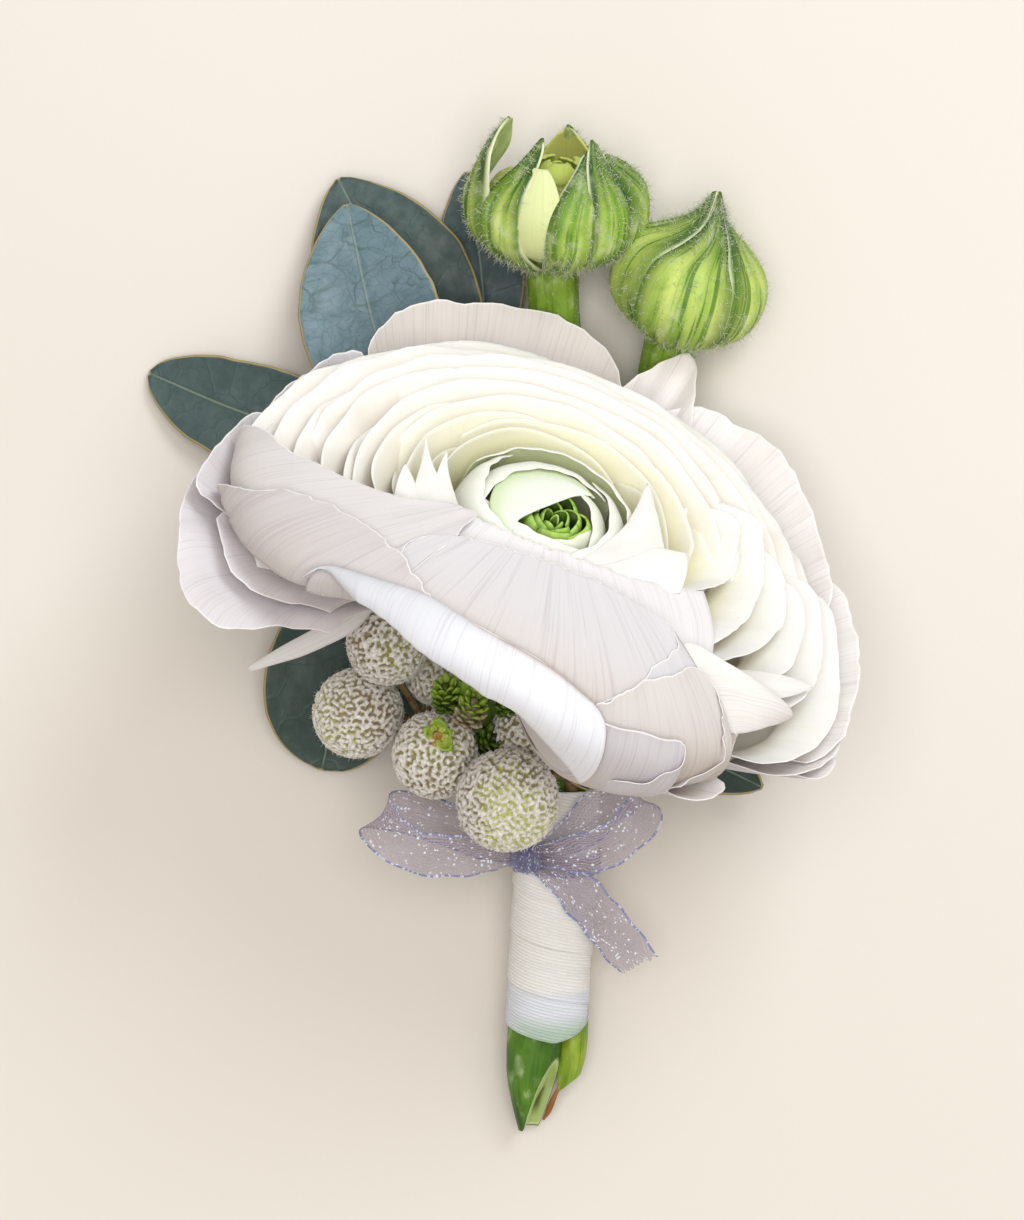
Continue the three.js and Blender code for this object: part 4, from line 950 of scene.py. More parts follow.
def build_heart():
    for k in range(4):
        with piece(f"petal_back_{k + 1}", HEART, "petal", f"back_petal_{k + 1}") as shape:
            for j, (shift, radius) in enumerate(((-11, 37.6), (13, 36.7))):
                heart_petal(shape, 0, 31 + 47 * k + shift, 50, radius, 300 + 11 * k + j)
    turn, k = 20.0, 0
    for ring, (radius, inner) in enumerate([(35.6, 29.4), (29.3, 23.2), (23.1, 18.3), (18.2, 13.0)]):
        with piece(f"heart_ring_{ring + 1}", HEART, "inner_petal", f"inner_whorl_{ring + 1}") as shape:
            while radius > inner:
                heart_petal(shape, k, turn % 360, 150 - 0.5 * radius, radius, 400 + 5 * k)
                turn, k, radius = turn + GOLDEN_ANGLE, k + 1, radius - 0.86
    with piece("heart_ring_5", HEART, "inner_petal", "inner_whorl_5") as shape:
        for j, (radius, close, top) in enumerate((
                (12.4, 0.22, 26.6), (11.9, 0.30, 26.75), (11.4, 0.37, 26.85), (10.8, 0.43, 26.85),
                (10.0, 0.46, 26.75), (9.0, 0.44, 26.6), (8.0, 0.38, 26.4), (7.0, 0.30, 26.2))):
            ball_petal(shape, 75 + GOLDEN_ANGLE * j, 165 - 3 * j, radius, 700 + 5 * j, close, top)
        eye_cap(shape)
    with piece("near_bowls", HEART, "inner_petal") as shape:
        for j, outline in enumerate(BOWLS):
            bowl(shape, outline, 600 + 9 * j, blend(srgb(255, 252, 240), LEMON, j / 5))
    with piece("eye_petals", EYE, "flower_eye", "flower_eye") as shape:
        u, v = spans(16, 14)
        for j in range(13):
            radius = 5.6 - 0.38 * j
            r = radius * (1 - 0.3 * v ** 2.4) * (0.9 + 0.1 * np.cos(u * 2))
            h = 17.5 + (8.6 - 0.08 * j) * np.sin(v * 1.5) - 0.9 * u ** 2
            grid = flower_point(97 * j + u * 68 * (1 - 0.35 * v), r, h) + SIDE * 1.0 + BACK * 0.3
            tint = blend(srgb(74, 118, 26), srgb(178, 214, 96), ease(v, 0.5, 1) + 0 * u)
            sheet(shape, grid, 0.22, tint, places(u * radius * 1.1, v * 8, j))
    with piece("calyx_sepals", SEPAL, "sepal", "calyx") as shape:
        u, v = spans(11, 11)
        for j in range(5):
            grid = flower_point(72 * j + 31 * u * (1 - 0.6 * v ** 3), lerp(2.3, 5.6, v),
                                -4.1 + 3.4 * v ** 2 + 0.25 * u ** 2)
            tint = blend(srgb(112, 146, 60), srgb(158, 186, 96), v + 0 * u)
            sheet(shape, grid, 0.4, tint, places(u * 3, v * 6, j))
    with piece("heart_tips", HEART, "inner_petal") as shape:
        for k, (left, right) in enumerate(HEART_ENDS):
            petal_end(shape, left, right, 820 + 3 * k, srgb(242, 240, 236), srgb(250, 249, 246))
    with piece("petal_rolled", PETAL, "petal", "rolled_petal") as shape:
        path = spline([(-6.3, -5.9, 27.3), (-10.5, -1.0, 24.9), (-15.6, 2.6, 23.8), (-20.8, -1.8, 25.4),
                       (-27, -4.8, 24.4), (-33.2, -7.4, 22)], 40)
        share = np.linspace(0, 1, 40)
        radii = values([0.5, 0.95, 1.2, 1.2, 1.25, 1.1, 0.4], share)
        tube(shape, path, radii, 14, blend(srgb(226, 222, 220), srgb(238, 236, 235), share), 0.6, 860, 0.12)


# ---------- stems ----------

def bundle(s, across, up):
    """A point in the tied bundle: along it from its lower end, across it and upwards."""
    s, across, up = (np.asarray(a, float)[..., None] for a in (s, across, up))
    return BUNDLE_START + BUNDLE_ALONG * s + BUNDLE_ACROSS * across + BUNDLE_UP * up


def in_bundle(lengths, across, up):
    return [bundle(s, across, up) for s in lengths]


def on_axis(h):
    return FLOWER_BASE + AXIS * h


DARK_GREEN, MID_GREEN = srgb(44, 92, 10), srgb(86, 130, 26)
HAIR_CLEARANCE, SEPAL_CLEARANCE = 0.08, 0.4  # above the table


def cut_stem(shape, centre, radius, up, cut, lowest, tints, seed):
    """The lower end of a bundled stem, sliced on a slant; centre and radius are stops from lowest to top."""
    sides, rows, top = 40, 36, 5.0
    angle = circle(sides)

    def share(s):
        return (s - lowest) / (top - lowest)

    low = np.full(sides, float(lowest))
    for _ in range(8):
        at = values(centre, share(low)) + values(radius, share(low)) * np.cos(angle)
        low = np.clip(cut(at, values(radius, share(low)) * np.sin(angle)), lowest, top - 1)
    s = lerp(low[None], top, np.linspace(0, 1, rows)[:, None] ** 1.2)
    ridge = 1 + 0.02 * np.cos(3 * angle + seed) + 0.012 * np.cos(7 * angle)
    r = values(radius, share(s)) * ridge
    grid = bundle(s, values(centre, share(s)) + r * np.cos(angle), up + r * np.sin(angle))
    index = np.arange(rows * sides).reshape(rows, sides)
    right = np.roll(index, -1, 1)
    quads = [faces(index[1:], right[1:], right[:-1], index[:-1])]
    middle, points, count, rim = grid[0].mean(0), [grid.reshape(-1, 3)], rows * sides, index[0]
    skin, deep, cut_tint = tints
    mottle = 0.5 + 0.5 * ripple(seed, 0.1, 0.35, s * 0.5, angle * 1.5)
    tint = [blend(skin, deep, mottle.clip(0, 1)).reshape(-1, 3)]
    wobble = 0.12 * ripple(seed + 3, 0.4, 1.2, angle)[:, None] * BUNDLE_ALONG
    # The cut face darkens inwards to near black at the bottom of the hollow: painted shade inside the hollow
    # stem.
    for size, ring_tint, hollow in ((0.93, srgb(206, 222, 160), 0), (0.8, cut_tint, 0), (0.6, cut_tint, 0),
                                    (0.42, cut_tint * 0.85, 0), (0.3, srgb(96, 110, 50), 0.9)):
        points.append(middle + (grid[0] - middle) * size + wobble * (1 - size) + BUNDLE_ALONG * hollow)
        ring = count + np.arange(sides)
        quads.append(faces(rim, np.roll(rim, -1), np.roll(ring, -1), ring))
        tint.append(np.broadcast_to(ring_tint, (sides, 3)))
        rim, count = ring, count + sides
    points += [(middle + BUNDLE_ALONG * 1.6)[None], bundle(top + 0.5, values(centre, 1.0), up)[None]]
    tint.append(np.stack((srgb(24, 30, 12), skin)))
    tris = [np.stack((rim, np.roll(rim, -1), np.full(sides, count)), -1),
            np.stack((right[-1], index[-1], np.full(sides, count + 1)), -1)]
    place = places(angle * 3.6, s, seed).reshape(-1, 3)
    filler = np.zeros((count + 2 - len(place), 3))
    shape.add(np.vstack(points), np.vstack(quads), np.vstack(tris), np.vstack(tint), np.vstack((place, filler)))


def build_flower_stem():
    with piece("stem_flower", STEM, "green_stem", "flower_stem") as shape:
        path = spline([*in_bundle((3, 12, 24, 32, 34), -1.5, 0.1), (1.4, -18, 14), (-3, -15, 15.8),
                       (-4.8, -11.3, 20.8), on_axis(-5), on_axis(-1), on_axis(4), on_axis(10.6)], 90)
        share = np.linspace(0, 1, 90)
        radii = values([3.2, 3.2, 3.1, 3.0, 2.6, 2.4, 2.3, 2.2, 2.1], share)
        tint = blend(MID_GREEN, srgb(150, 180, 70), ease(share, 0.5, 0.85))
        tube(shape, path, radii, 28, tint, 1.0, 900, 0.03)
        cut_stem(shape, [-0.9, -1.25, -1.5, -1.45, -1.28, -1.26], [2.0, 2.7, 3.25, 3.55, 3.7, 3.7], 0.1,
                 lambda across, up: -3.6 + (across - 2.2) * 2.6 + 1.5 * up, -12.8,
                 (DARK_GREEN, MID_GREEN, srgb(172, 194, 112)), 910)
        sliver = bundle([-11.6, -10.4, -8.6, -6.6, -5.0], [0.3, 0.85, 1.5, 2.25, 2.6],
                        [-0.6, -0.2, 0.1, 0.3, 0.5])
        radii = values([0.15, 0.34, 0.3, 0.22, 0.1], np.linspace(0, 1, 20))
        tube(shape, spline(sliver, 20), radii, 8, srgb(150, 96, 46), 1.0, 915, 0.2)


def build_bud_stems():
    fork, stalks, share = (12.4, -1, 4.9), [], np.linspace(0, 1, 60)
    with piece("stem_buds", STEM, "green_stem", "bud_stem") as shape:
        trunk = spline([*in_bundle((3, 16, 32, 34), 3.3, -0.4), (10.8, -14.6, 9.4), (12.2, -7, 6.2), fork,
                        (12.6, 3, 4.4)], 60)
        radii = values([1.6, 1.6, 1.6, 1.8, 2.2, 2.4, 2.4], share)
        tube(shape, trunk, radii, 20, srgb(126, 156, 46), 1.0, 920, 0.03)
        for k, (path, radii) in enumerate((
                ([fork, (11, 10, 3.8), (7.6, 23, 3.1), (6, 33, 3.5), (5.3, 40.5, 5.9), (5.25, 45.2, 8.0)],
                 [2.3, 2.8, 2.95, 3.0, 3.15, 3.5]),
                ([fork, (14.2, 9, 3.6), (17, 20, 2.9), (18.8, 27.6, 3.3), (19.9, 32.8, 5.2), (20.9, 36.2, 7.0)],
                 [2.3, 2.5, 2.6, 2.75, 3.0, 3.5]))):
            path, radii = spline(path, 60), values(radii, share)
            tint = blend(srgb(96, 140, 34), srgb(138, 170, 56), ease(share, 0.55, 1))
            tube(shape, path, radii, 28, tint, 1.0, 930 + k, 0.025)
            stalks.append((path, radii))
        cut_stem(shape, [3.0, 3.35, 3.6, 3.6, 3.5, 3.4], [1.1, 1.5, 1.75, 1.85, 1.85, 1.8], -0.3,
                 lambda across, up: -6.6 + 0.9 * (across - 3.4) + 0.3 * up, -7.6,
                 (srgb(150, 172, 48), srgb(118, 152, 40), srgb(190, 205, 130)), 940)
    with piece("stem_hairs", HAIR, "green_stem") as shape:
        rng = np.random.default_rng(950)
        for path, radii in stalks:
            _, across, up = frames_along(path)
            i, angle = rng.integers(24, 58, 520), rng.uniform(0, FULL_TURN, 520)[:, None]
            normal = across[i] * np.cos(angle) + up[i] * np.sin(angle)
            hair(shape, path[i] + normal * radii[i][:, None], normal, rng, 0.5, 1.0)


def hair(shape, roots, normals, rng, short, long, radius=0.032, lie=0.9, tint=srgb(236, 240, 222)):
    """Short bent hairs as fine three-sided spikes that stay above the table."""
    n = len(roots)
    length = rng.uniform(short, long, n)[:, None]
    drift = rng.normal(size=(n, 3)) * lie
    first = unit(normals + 0.5 * drift)
    side = unit(np.cross(first, rng.normal(size=(n, 3))))
    other = np.cross(first, side)
    ring = [side, -0.5 * side + 0.866 * other, -0.5 * side - 0.866 * other]
    middle = roots + first * length * 0.5
    tip = middle + unit(normals * 0.4 + drift) * length * 0.5
    points = np.stack([roots + d * radius for d in ring] + [middle + d * radius * 0.7 for d in ring] + [tip], 1)
    points[..., 2] = np.maximum(points[..., 2], HAIR_CLEARANCE)
    base = (np.arange(n) * 7)[:, None]
    around = [(k, (k + 1) % 3) for k in range(3)]
    quads = np.concatenate([base + np.array([[a, b, 3 + b, 3 + a]]) for a, b in around])
    tris = [base + np.array([[3 + a, 3 + b, 6]]) for a, b in around] + [base + np.array([[2, 1, 0]])]
    shape.add(points, quads, np.concatenate(tris), tint)


# ---------- the buds ----------

def bud_frame(base, along):
    along = unit(np.array(along, float))
    side = unit(np.array((1.0, 0, 0)) - along * along[0])
    return np.array(base, float), along, side, np.cross(along, side)


OPEN_BUD = bud_frame((5.2, 44.7, 7.8), (0.06, 0.92, 0.37))
SHUT_BUD = bud_frame((20.7, 35.6, 6.7), (0.27, 0.87, 0.39))
LIME_RIB, SEPAL_GREEN, SEPAL_DARK = srgb(208, 226, 118), srgb(128, 172, 44), srgb(44, 88, 18)
CORE_PALE, CORE_WARM = srgb(222, 228, 150), srgb(206, 214, 110)
CUP = [(2.6, -0.3), (6.6, 1.2), (10.2, 4.2), (11.1, 8), (10.5, 11.2)]
OPEN_SEPALS = {
    "left": (3, (150, 215), [(9.6, 14.2), (8.6, 16.8), (6.2, 19.3)],
             dict(curl=0.7, twist=8, narrow=(0.7, 0.05), roll=2.4)),
    "front_left": (4, (209, 245), [(8.0, 14.6), (5.4, 17.7)], dict(twist=17, narrow=(0.5, 0.03), roll=1.6)),
    "front_right": (4, (262, 298), [(8.6, 14.0), (7.0, 16.8)], dict(twist=17, narrow=(0.46, 0.03))),
    "right_front": (5, (292, 328), [(8.8, 14.6), (7.0, 18.4)],
                    dict(twist=-8, narrow=(0.56, 0.08), curl=0.3, roll=-1.0)),
    "right": (5, (321, 392), [(8.6, 13.8), (6.6, 15.6)], dict(twist=-26, narrow=(0.4, 0.05))),
    "back_right": (1, (22, 94), [(8.4, 12.8), (6.8, 13.8)], dict(narrow=(0.45, 0.05))),
    "back": (2, (52, 112), [(7.2, 13.6), (3.6, 17.2)], dict(narrow=(0.22, 0.02), twist=-8)),
}
ONION = [(8.9, 3.9), (9.6, 7.8), (8.4, 11.2), (5.0, 13.9), (2.4, 16.2), (1.1, 18.4)]
SHUT_SEPALS = {
    "left": (2, (126, 230), (6.0, 1.0), (0, 0), (0.5, 20.2)),
    "front": (3, (222, 305), (6.2, 0.9), (0.15, -0.2), (0.45, 19.6)),
    "right": (4, (297, 396), (6.0, 1.0), (0, 0), (0.4, 19.8)),
    "back": (1, (28, 134), (5.8, 1.1), (-0.2, 0), (0.4, 19.4)),
}


def sepal(shape, hairs, frame_, turns, outline, seed, rng, hair_count, dark, narrow, rich=0.1, twist=0.0,
          lobe=0.06, curl=0.0, roll=0.0):
    """A bulging sepal with rolled-in margins; outline is (radius, height) from the stalk to its tip."""
    rows, cols, thick = 46, 34, 0.55
    radius, height = (column[:, None] for column in spline(outline, rows).T)
    u, v = spans(cols, rows)
    rim = np.abs(u)
    taper = np.clip((v - narrow[0]) / (1 - narrow[0]), 0, 1) ** 1.7
    width = narrow[1] + (1 - narrow[1]) * np.sqrt(np.clip(1 - taper, 0, 1))
    middle, half = (turns[0] + turns[1]) / 2, (turns[1] - turns[0]) / 2
    degrees = middle + u * (half * width + 6 * ease(v, 0.4, 0.1)) + twist * ease(v, 0.55, 1) * v
    belly = np.sin(math.pi * np.minimum(1, v * 1.1)) ** 0.7
    r = radius * (1 + lobe * np.cos(u * math.pi / 2) * belly) - 0.5 * rim ** 7 * belly
    r = r + 0.05 * np.cos(u * math.pi * 3.5 + seed) * belly * (1 - rim ** 4)
    r = r + curl * ease(v, 0.8, 1) ** 1.5 + roll * u * width * ease(v, 0.5, 0.85)
    h = height + 0.15 * ripple(seed, 0.3, 0.9, u, v * 1.5)
    grid = polar(frame_, degrees, np.maximum(r, 0.25), h)
    grid[..., 2] = np.maximum(grid[..., 2], SEPAL_CLEARANCE + 0.12 * rim)
    ribs = 0.5 + 0.5 * np.cos(u * math.pi * 4.5 + seed + 1.2 * ripple(seed + 2, 0.2, 0.5, v[:, 0])[:, None])
    ribs = rich + 0.55 * ribs + 0.25 * ripple(seed + 1, 0.3, 0.8, u, v * 2)
    shade = dark * ease(v, 0.5, 0.95) + 0.6 * ease(rim, 0.45, 0.85) * ease(v, 0.02, 0.3)
    green = blend(LIME_RIB, SEPAL_GREEN, np.clip(ribs, 0, 1))
    green = blend(green, SEPAL_DARK, np.clip(shade, 0, 0.92) + 0 * u)
    green = blend(green, srgb(232, 236, 196), ease(rim, 0.9, 0.97))
    inside = blend(srgb(222, 232, 184), srgb(206, 222, 150), v + 0 * u)
    place = places(u * half * math.pi / 180 * 8.5, v * 22, seed)
    sheet(shape, grid, thick * (1 - 0.5 * rim ** 6), green, place, tint_back=inside)
    normal = grid_normals(grid)
    i, j = rng.integers(1, rows - 1, hair_count), rng.integers(1, cols - 1, hair_count)
    jitter = rng.uniform(0, 1, (2, hair_count, 1))
    root = lerp(grid[i, j], grid[i, j - 1], jitter[0])
    root = root + (grid[i - 1, j] - grid[i, j]) * jitter[1] + normal[i, j] * thick * 0.45
    hair(hairs, root, normal[i, j], rng, 0.6, 1.6, radius=0.036, lie=1.5, tint=srgb(244, 248, 230))


def bud_core_petal(shape, frame_, turns, outline, seed, tint=CORE_PALE, tip_tint=CORE_WARM, narrow=0.35):
    radius, height = (column[:, None] for column in spline(outline, 30).T)
    u, v = spans(22, 30)
    middle, half = (turns[0] + turns[1]) / 2, (turns[1] - turns[0]) / 2
    width = np.sqrt(np.clip(1 - ((v - 0.45) / 0.57) ** 2, narrow ** 2, 1))
    grid = polar(frame_, middle + u * half * width, radius * (1 + 0.03 * np.cos(u * math.pi / 2)), height)
    sheet(shape, grid, 0.35, blend(tint, tip_tint, v + 0 * u), places(u * half * 0.16, v * 14, seed))


def build_buds():
    rng = np.random.default_rng(960)
    with piece("bud_hairs", HAIR, "sepal") as hairs:
        for k, (side, (node, turns, tip, extra)) in enumerate(OPEN_SEPALS.items()):
            with piece("opening_sepal_" + side, SEPAL, "sepal", f"opening_bud_sepal_{node}") as shape:
                sepal(shape, hairs, OPEN_BUD, turns, CUP + tip, 970 + 3 * k, rng,
                      200 + 6 * (turns[1] - turns[0]), 0.65, rich=0.38, **extra)
        with piece("opening_core", CORE, "bud_core", "opening_bud_core") as shape:
            for k, (turns, outline, *look) in enumerate((
                    ((233, 274), [(5, 1.6), (9.2, 4.0), (10.7, 8.0), (10.2, 11.8), (8.6, 15.0)],
                     srgb(226, 234, 160), srgb(232, 238, 182), 0.08),
                    ((160, 235), [(4, 2), (8, 4.5), (9, 7.6), (8, 10.6), (6.0, 12.6)]),
                    ((280, 350), [(4, 2), (8, 4.5), (9, 8.2), (8, 12), (5.4, 14.2)]),
                    ((46, 110), [(4, 2), (7.6, 5), (8.0, 8.6), (6.8, 12.6), (4.6, 16.2)],
                     srgb(232, 234, 150), srgb(224, 224, 130), 0.06))):
                bud_core_petal(shape, OPEN_BUD, turns, outline, 990 + 3 * k, *look)
            u, v = spans(9, 10)
            for j in range(7):
                r, h = (4.6 - 0.5 * j) * np.cos(v * 1.1), 11.5 + (2.4 - 0.1 * j) * np.sin(v * 1.4)
                grid = polar(OPEN_BUD, GOLDEN_ANGLE * j + 50 * u * (1 - 0.4 * v), r, h)
                sheet(shape, grid, 0.3, srgb(198, 212, 104), places(u * 3, v * 5, j))
        for k, (side, (node, turns, low, (wider, higher), tip)) in enumerate(SHUT_SEPALS.items()):
            with piece("closed_sepal_" + side, SEPAL, "sepal", f"closed_bud_sepal_{node}") as shape:
                outline = [(2.6, -0.3), low, *[(r + wider, h + higher) for r, h in ONION], tip]
                sepal(shape, hairs, SHUT_BUD, turns, outline, 1010 + 3 * k, rng, 620, 0.8, (0.7, 0.55),
                      twist=46, lobe=0.035)
        with piece("closed_core", CORE, "bud_core", "closed_bud_core") as shape:
            for k in range(3):
                outline = [(3, 1.8), (6.8, 4), (7.4, 8), (5.6, 10.8), (1.6, 13.2)]
                bud_core_petal(shape, SHUT_BUD, (120 * k, 120 * k + 118), outline, 1030 + 3 * k)


# ---------- eucalyptus ----------

BLUE_GREEN, DEEP_GREEN, FOREST = srgb(110, 135, 145), srgb(65, 84, 82), srgb(56, 76, 70)
LEAVES = [
    ((-13.2, 24.6, 4.6), (-17.6, 36, 7.5), (-21.2, 52, 7.8), 9.2, -8, BLUE_GREEN, 0.9, 0.65),
    ((-12.6, 25.6, 3.6), (-14.5, 39, 3.6), (-22.4, 55.6, 3.4), 10.5, 4, DEEP_GREEN, 0.9, 0.65),
    ((-3.4, 32.4, 2), (-4, 44, 1.4), (-5.8, 56.6, 0.9), 5.5, 0, srgb(64, 84, 88), 0.9, 0.65),
    ((-14.8, 20, 3.4), (-33, 24.9, 2.6), (-46.9, 30.6, 1.2), 6.7, 6, srgb(64, 86, 84), 1.05, 0.5),
    ((-9.8, 3.3, 4.5), (-21, -8.0, 5), (-24.6, -20.6, 2.2), 10.4, 0, FOREST, 1.0, 0.46),
    ((4.7, -10.2, 13.4), (7.4, -16.8, 16.6), (10, -22.8, 18.4), 3.5, 0, srgb(52, 72, 54), 0.9, 0.65),
    ((13.6, -15.6, 4.2), (24, -19, 4.6), (32.2, -22.8, 4.8), 4.4, 0, srgb(46, 66, 56), 0.9, 0.65),
]


def leaf(shape, base, middle, tip, half, roll, tint, skew, blunt, seed):
    """A leaf along three points; half is its half width, roll tilts it and blunt rounds its ends."""
    rows, cols = 60, 33
    line = spline((base, middle, tip), rows)
    u, share = spans(cols, rows)
    length = steps(line).sum()
    along_mm = share * length
    along = unit(np.gradient(line, axis=0))
    across = unit(np.cross(along, (math.sin(math.radians(roll)), 0, math.cos(math.radians(roll)))))
    width = np.maximum(0.3, half * np.sin(math.pi * share ** skew) ** blunt)
    width = width * (1 + 0.012 * ripple(seed, 0.05, 0.16, along_mm))
    side = u * (1 + 0.008 * ripple(seed + 9, 0.1, 0.4, along_mm)) * width
    wave = 0.22 * ripple(seed + 1, 0.03, 0.09, u * half, along_mm) * np.abs(u) ** 1.5
    fold = 0.12 * width * u ** 2 - 0.12 * np.exp(-(u * half / 0.35) ** 2) + wave
    grid = strip(line, across, along, side, fold)
    edge = np.minimum((1 - np.abs(u)) * width, np.minimum(share, 1 - share) * length * 0.8 + 0.05)
    shade = 0.5 + 0.5 * ripple(seed + 2, 0.02, 0.06, u * half, along_mm)
    sheet(shape, grid, 0.38, blend(tint, tint * 0.82, np.clip(shade, 0, 1)), places(side, along_mm, seed), edge,
          tint_back=tint * 0.9 + srgb(90, 106, 96) * 0.1)


def build_eucalyptus():
    for k, given in enumerate(LEAVES):
        with piece(f"leaf_{k + 1}", LEAF, "eucalyptus_leaf", f"eucalyptus_leaf_{k + 1}") as shape:
            leaf(shape, *given, 1100 + 3 * k)
    with piece("eucalyptus_twigs", TWIG, "twig", "eucalyptus_stem") as shape:
        twigs(shape, (
            ([*in_bundle((2, 18, 34), 1.3, -3.5), (3.4, -14, 7), (-3, -5, 5.6), (-9, 3, 4.6), (-12, 14, 4),
              (-13.8, 24.6, 4)], 0.8, 60),
            ([(-9, 3, 4.6), (-5.4, 14, 3.2), (-3.5, 24, 2.4), (-3.4, 33, 2.0)], 0.75, 30),
            ([(3.8, -14.6, 7.1), (4.4, -12, 9), (4.7, -10.4, 13.1)], 0.55, 16),
            ([bundle(34, 1.3, -3.5), (9.6, -18.4, 6), (13.4, -15.6, 4.2)], 0.65, 16),
        ), 12, (srgb(120, 92, 58), srgb(112, 118, 58)), 1130, 0.08, taper=0.2)


# ---------- brunia ----------

HEAD_CUTS, HIDDEN_HEAD_CUTS, HEAD_HAIRS = 54, 30, 420

BRUNIA_HEADS = [
    ((-15.7, -4.2, 21.5), 5.3, 0.25),
    ((-19.6, -13.1, 15.5), 5.8, 0.4),
    ((-9.6, -18.3, 22), 5.6, 0.2),
    ((-0.6, -23.8, 29.5), 6.5, 0.9),
    ((2.3, -15.8, 21.8), 5.0, 0.3),
    ((-9.1, -7.6, 14), 4.8, 0.1),
]


def ball_grid(cuts):
    """Directions and quads of a cube's grid, spread evenly over a ball."""
    block = bmesh.new()
    bmesh.ops.create_cube(block, size=2.0)
    bmesh.ops.subdivide_edges(block, edges=block.edges[:], cuts=cuts, use_grid_fill=True)
    ways = unit(np.tan(np.array([v.co[:] for v in block.verts]) * math.pi / 4))
    quads = np.array([[v.index for v in f.verts] for f in block.faces])
    block.free()
    return ways, quads


def brunia_head(shape, hairs, centre, radius, green, seed, cuts):
    """A round head whose florets leave pits between raised, wandering silver ridges."""
    ways, quads = ball_grid(cuts)
    rng = np.random.default_rng(seed)
    solid = ways * radius
    waves = unit(rng.normal(size=(40, 3))) * (FULL_TURN / rng.uniform(0.6, 0.95, 40))[:, None]
    phase = rng.uniform(0, FULL_TURN, 40)
    ridge = ease(np.cos(solid @ waves.T + phase).sum(1) / math.sqrt(20), -0.6, 0.05)
    tone = 0.5 + 0.5 * np.cos(ripple(seed + 4, 0.4, 0.9, *solid.T, waves=12) * 4)
    lumps = ripple(seed + 5, 0.05, 0.12, *solid.T)
    grain = ripple(seed + 6, 0.8, 1.7, *solid.T, waves=12)
    height = 0.34 * ridge + 0.05 * lumps + 0.07 * grain * ridge - 0.28
    points = ways * (radius - 0.05 + height)[:, None] + centre
    area = np.clip(0.5 + 0.6 * ripple(seed + 7, 0.04, 0.1, *solid.T), 0, 1)
    silver = blend(srgb(236, 233, 227), srgb(255, 254, 251), np.clip(0.5 + 0.5 * grain, 0, 1))
    silver = blend(silver, srgb(226, 219, 222), 0.5 * (1 - area))
    pit = blend(srgb(152, 144, 106), srgb(134, 112, 84), ease(tone, 0.3, 0.7))
    pit = blend(pit, srgb(190, 200, 104), ease(0.5 * tone + 0.8 * green * area, 0.42, 0.8))
    pit = blend(pit, srgb(92, 64, 42), ease(tone, 0.95, 1.0) * ease(grain, 0.2, 0.6))
    colour = blend(pit, silver, ease(ridge, 0.1, 0.8))
    colour = blend(colour, srgb(206, 214, 140), 0.5 * green * ease(area, 0.5, 0.9) * (1 - ridge))
    shape.add(points, quads, (), colour)
    pick = rng.choice(np.nonzero(ridge > 0.6)[0], HEAD_HAIRS)
    hair(hairs, points[pick], ways[pick], rng, 0.3, 0.75, 0.03, lie=0.7, tint=srgb(236, 232, 222))


def floret(shape, root, way, side, length, width, tints, cup):
    """A small pointed scale or leaflet."""
    way, side = unit(np.asarray(way, float)), np.asarray(side, float)
    side = unit(side - way * (side @ way))
    u, v = spans(5, 7)
    wide = u * width * np.sin(math.pi * (0.12 + 0.86 * v) ** 0.8) ** 0.8
    lift = cup * width * u ** 2 + cup * length * 0.5 * v ** 2
    forward = length * v * (1 - 0.1 * v)
    grid = (np.asarray(root, float) + way * forward[..., None] + side * wide[..., None]
            + np.cross(side, way) * lift[..., None])
    sheet(shape, grid, 0.16 + 0.12 * width, blend(*tints, v + 0 * u), places(u * width, v * length, 0))


def cone(shape, centre, way, radius, length, tints, seed):
    """A young cone of overlapping scales along a core."""
    rng = np.random.default_rng(seed)
    scales, centre, way = 40, np.array(centre), unit(np.array(way, float))
    side = unit(np.cross(way, (0.3, 0.2, 1)))
    other = np.cross(way, side)
    core = spline([centre - way * length * 0.45, centre, centre + way * length * 0.42], 12)
    tube(shape, core, radius * 0.7 * np.sin(np.linspace(0.5, 2.7, 12)), 10, tints[0] * 0.6, seed=seed)
    for j in range(scales):
        share, turn = (j + 0.5) / scales, 2.4 * j
        out = side * math.cos(turn) + other * math.sin(turn)
        r = radius * (0.35 + 0.65 * math.sin(math.pi * (0.15 + 0.75 * share)))
        root = centre + way * length * (share - 0.55) + out * r * 0.62
        lean = unit(way * (0.75 + 0.5 * share) + out * (1.0 - 0.6 * share) + rng.normal(size=3) * 0.12)
        tint = blend(*tints, ease(share, 0.3, 0.7))
        floret(shape, root, lean, np.cross(out, way), length * 0.3, radius * 0.3, (tint * 0.8, tint), -0.3)


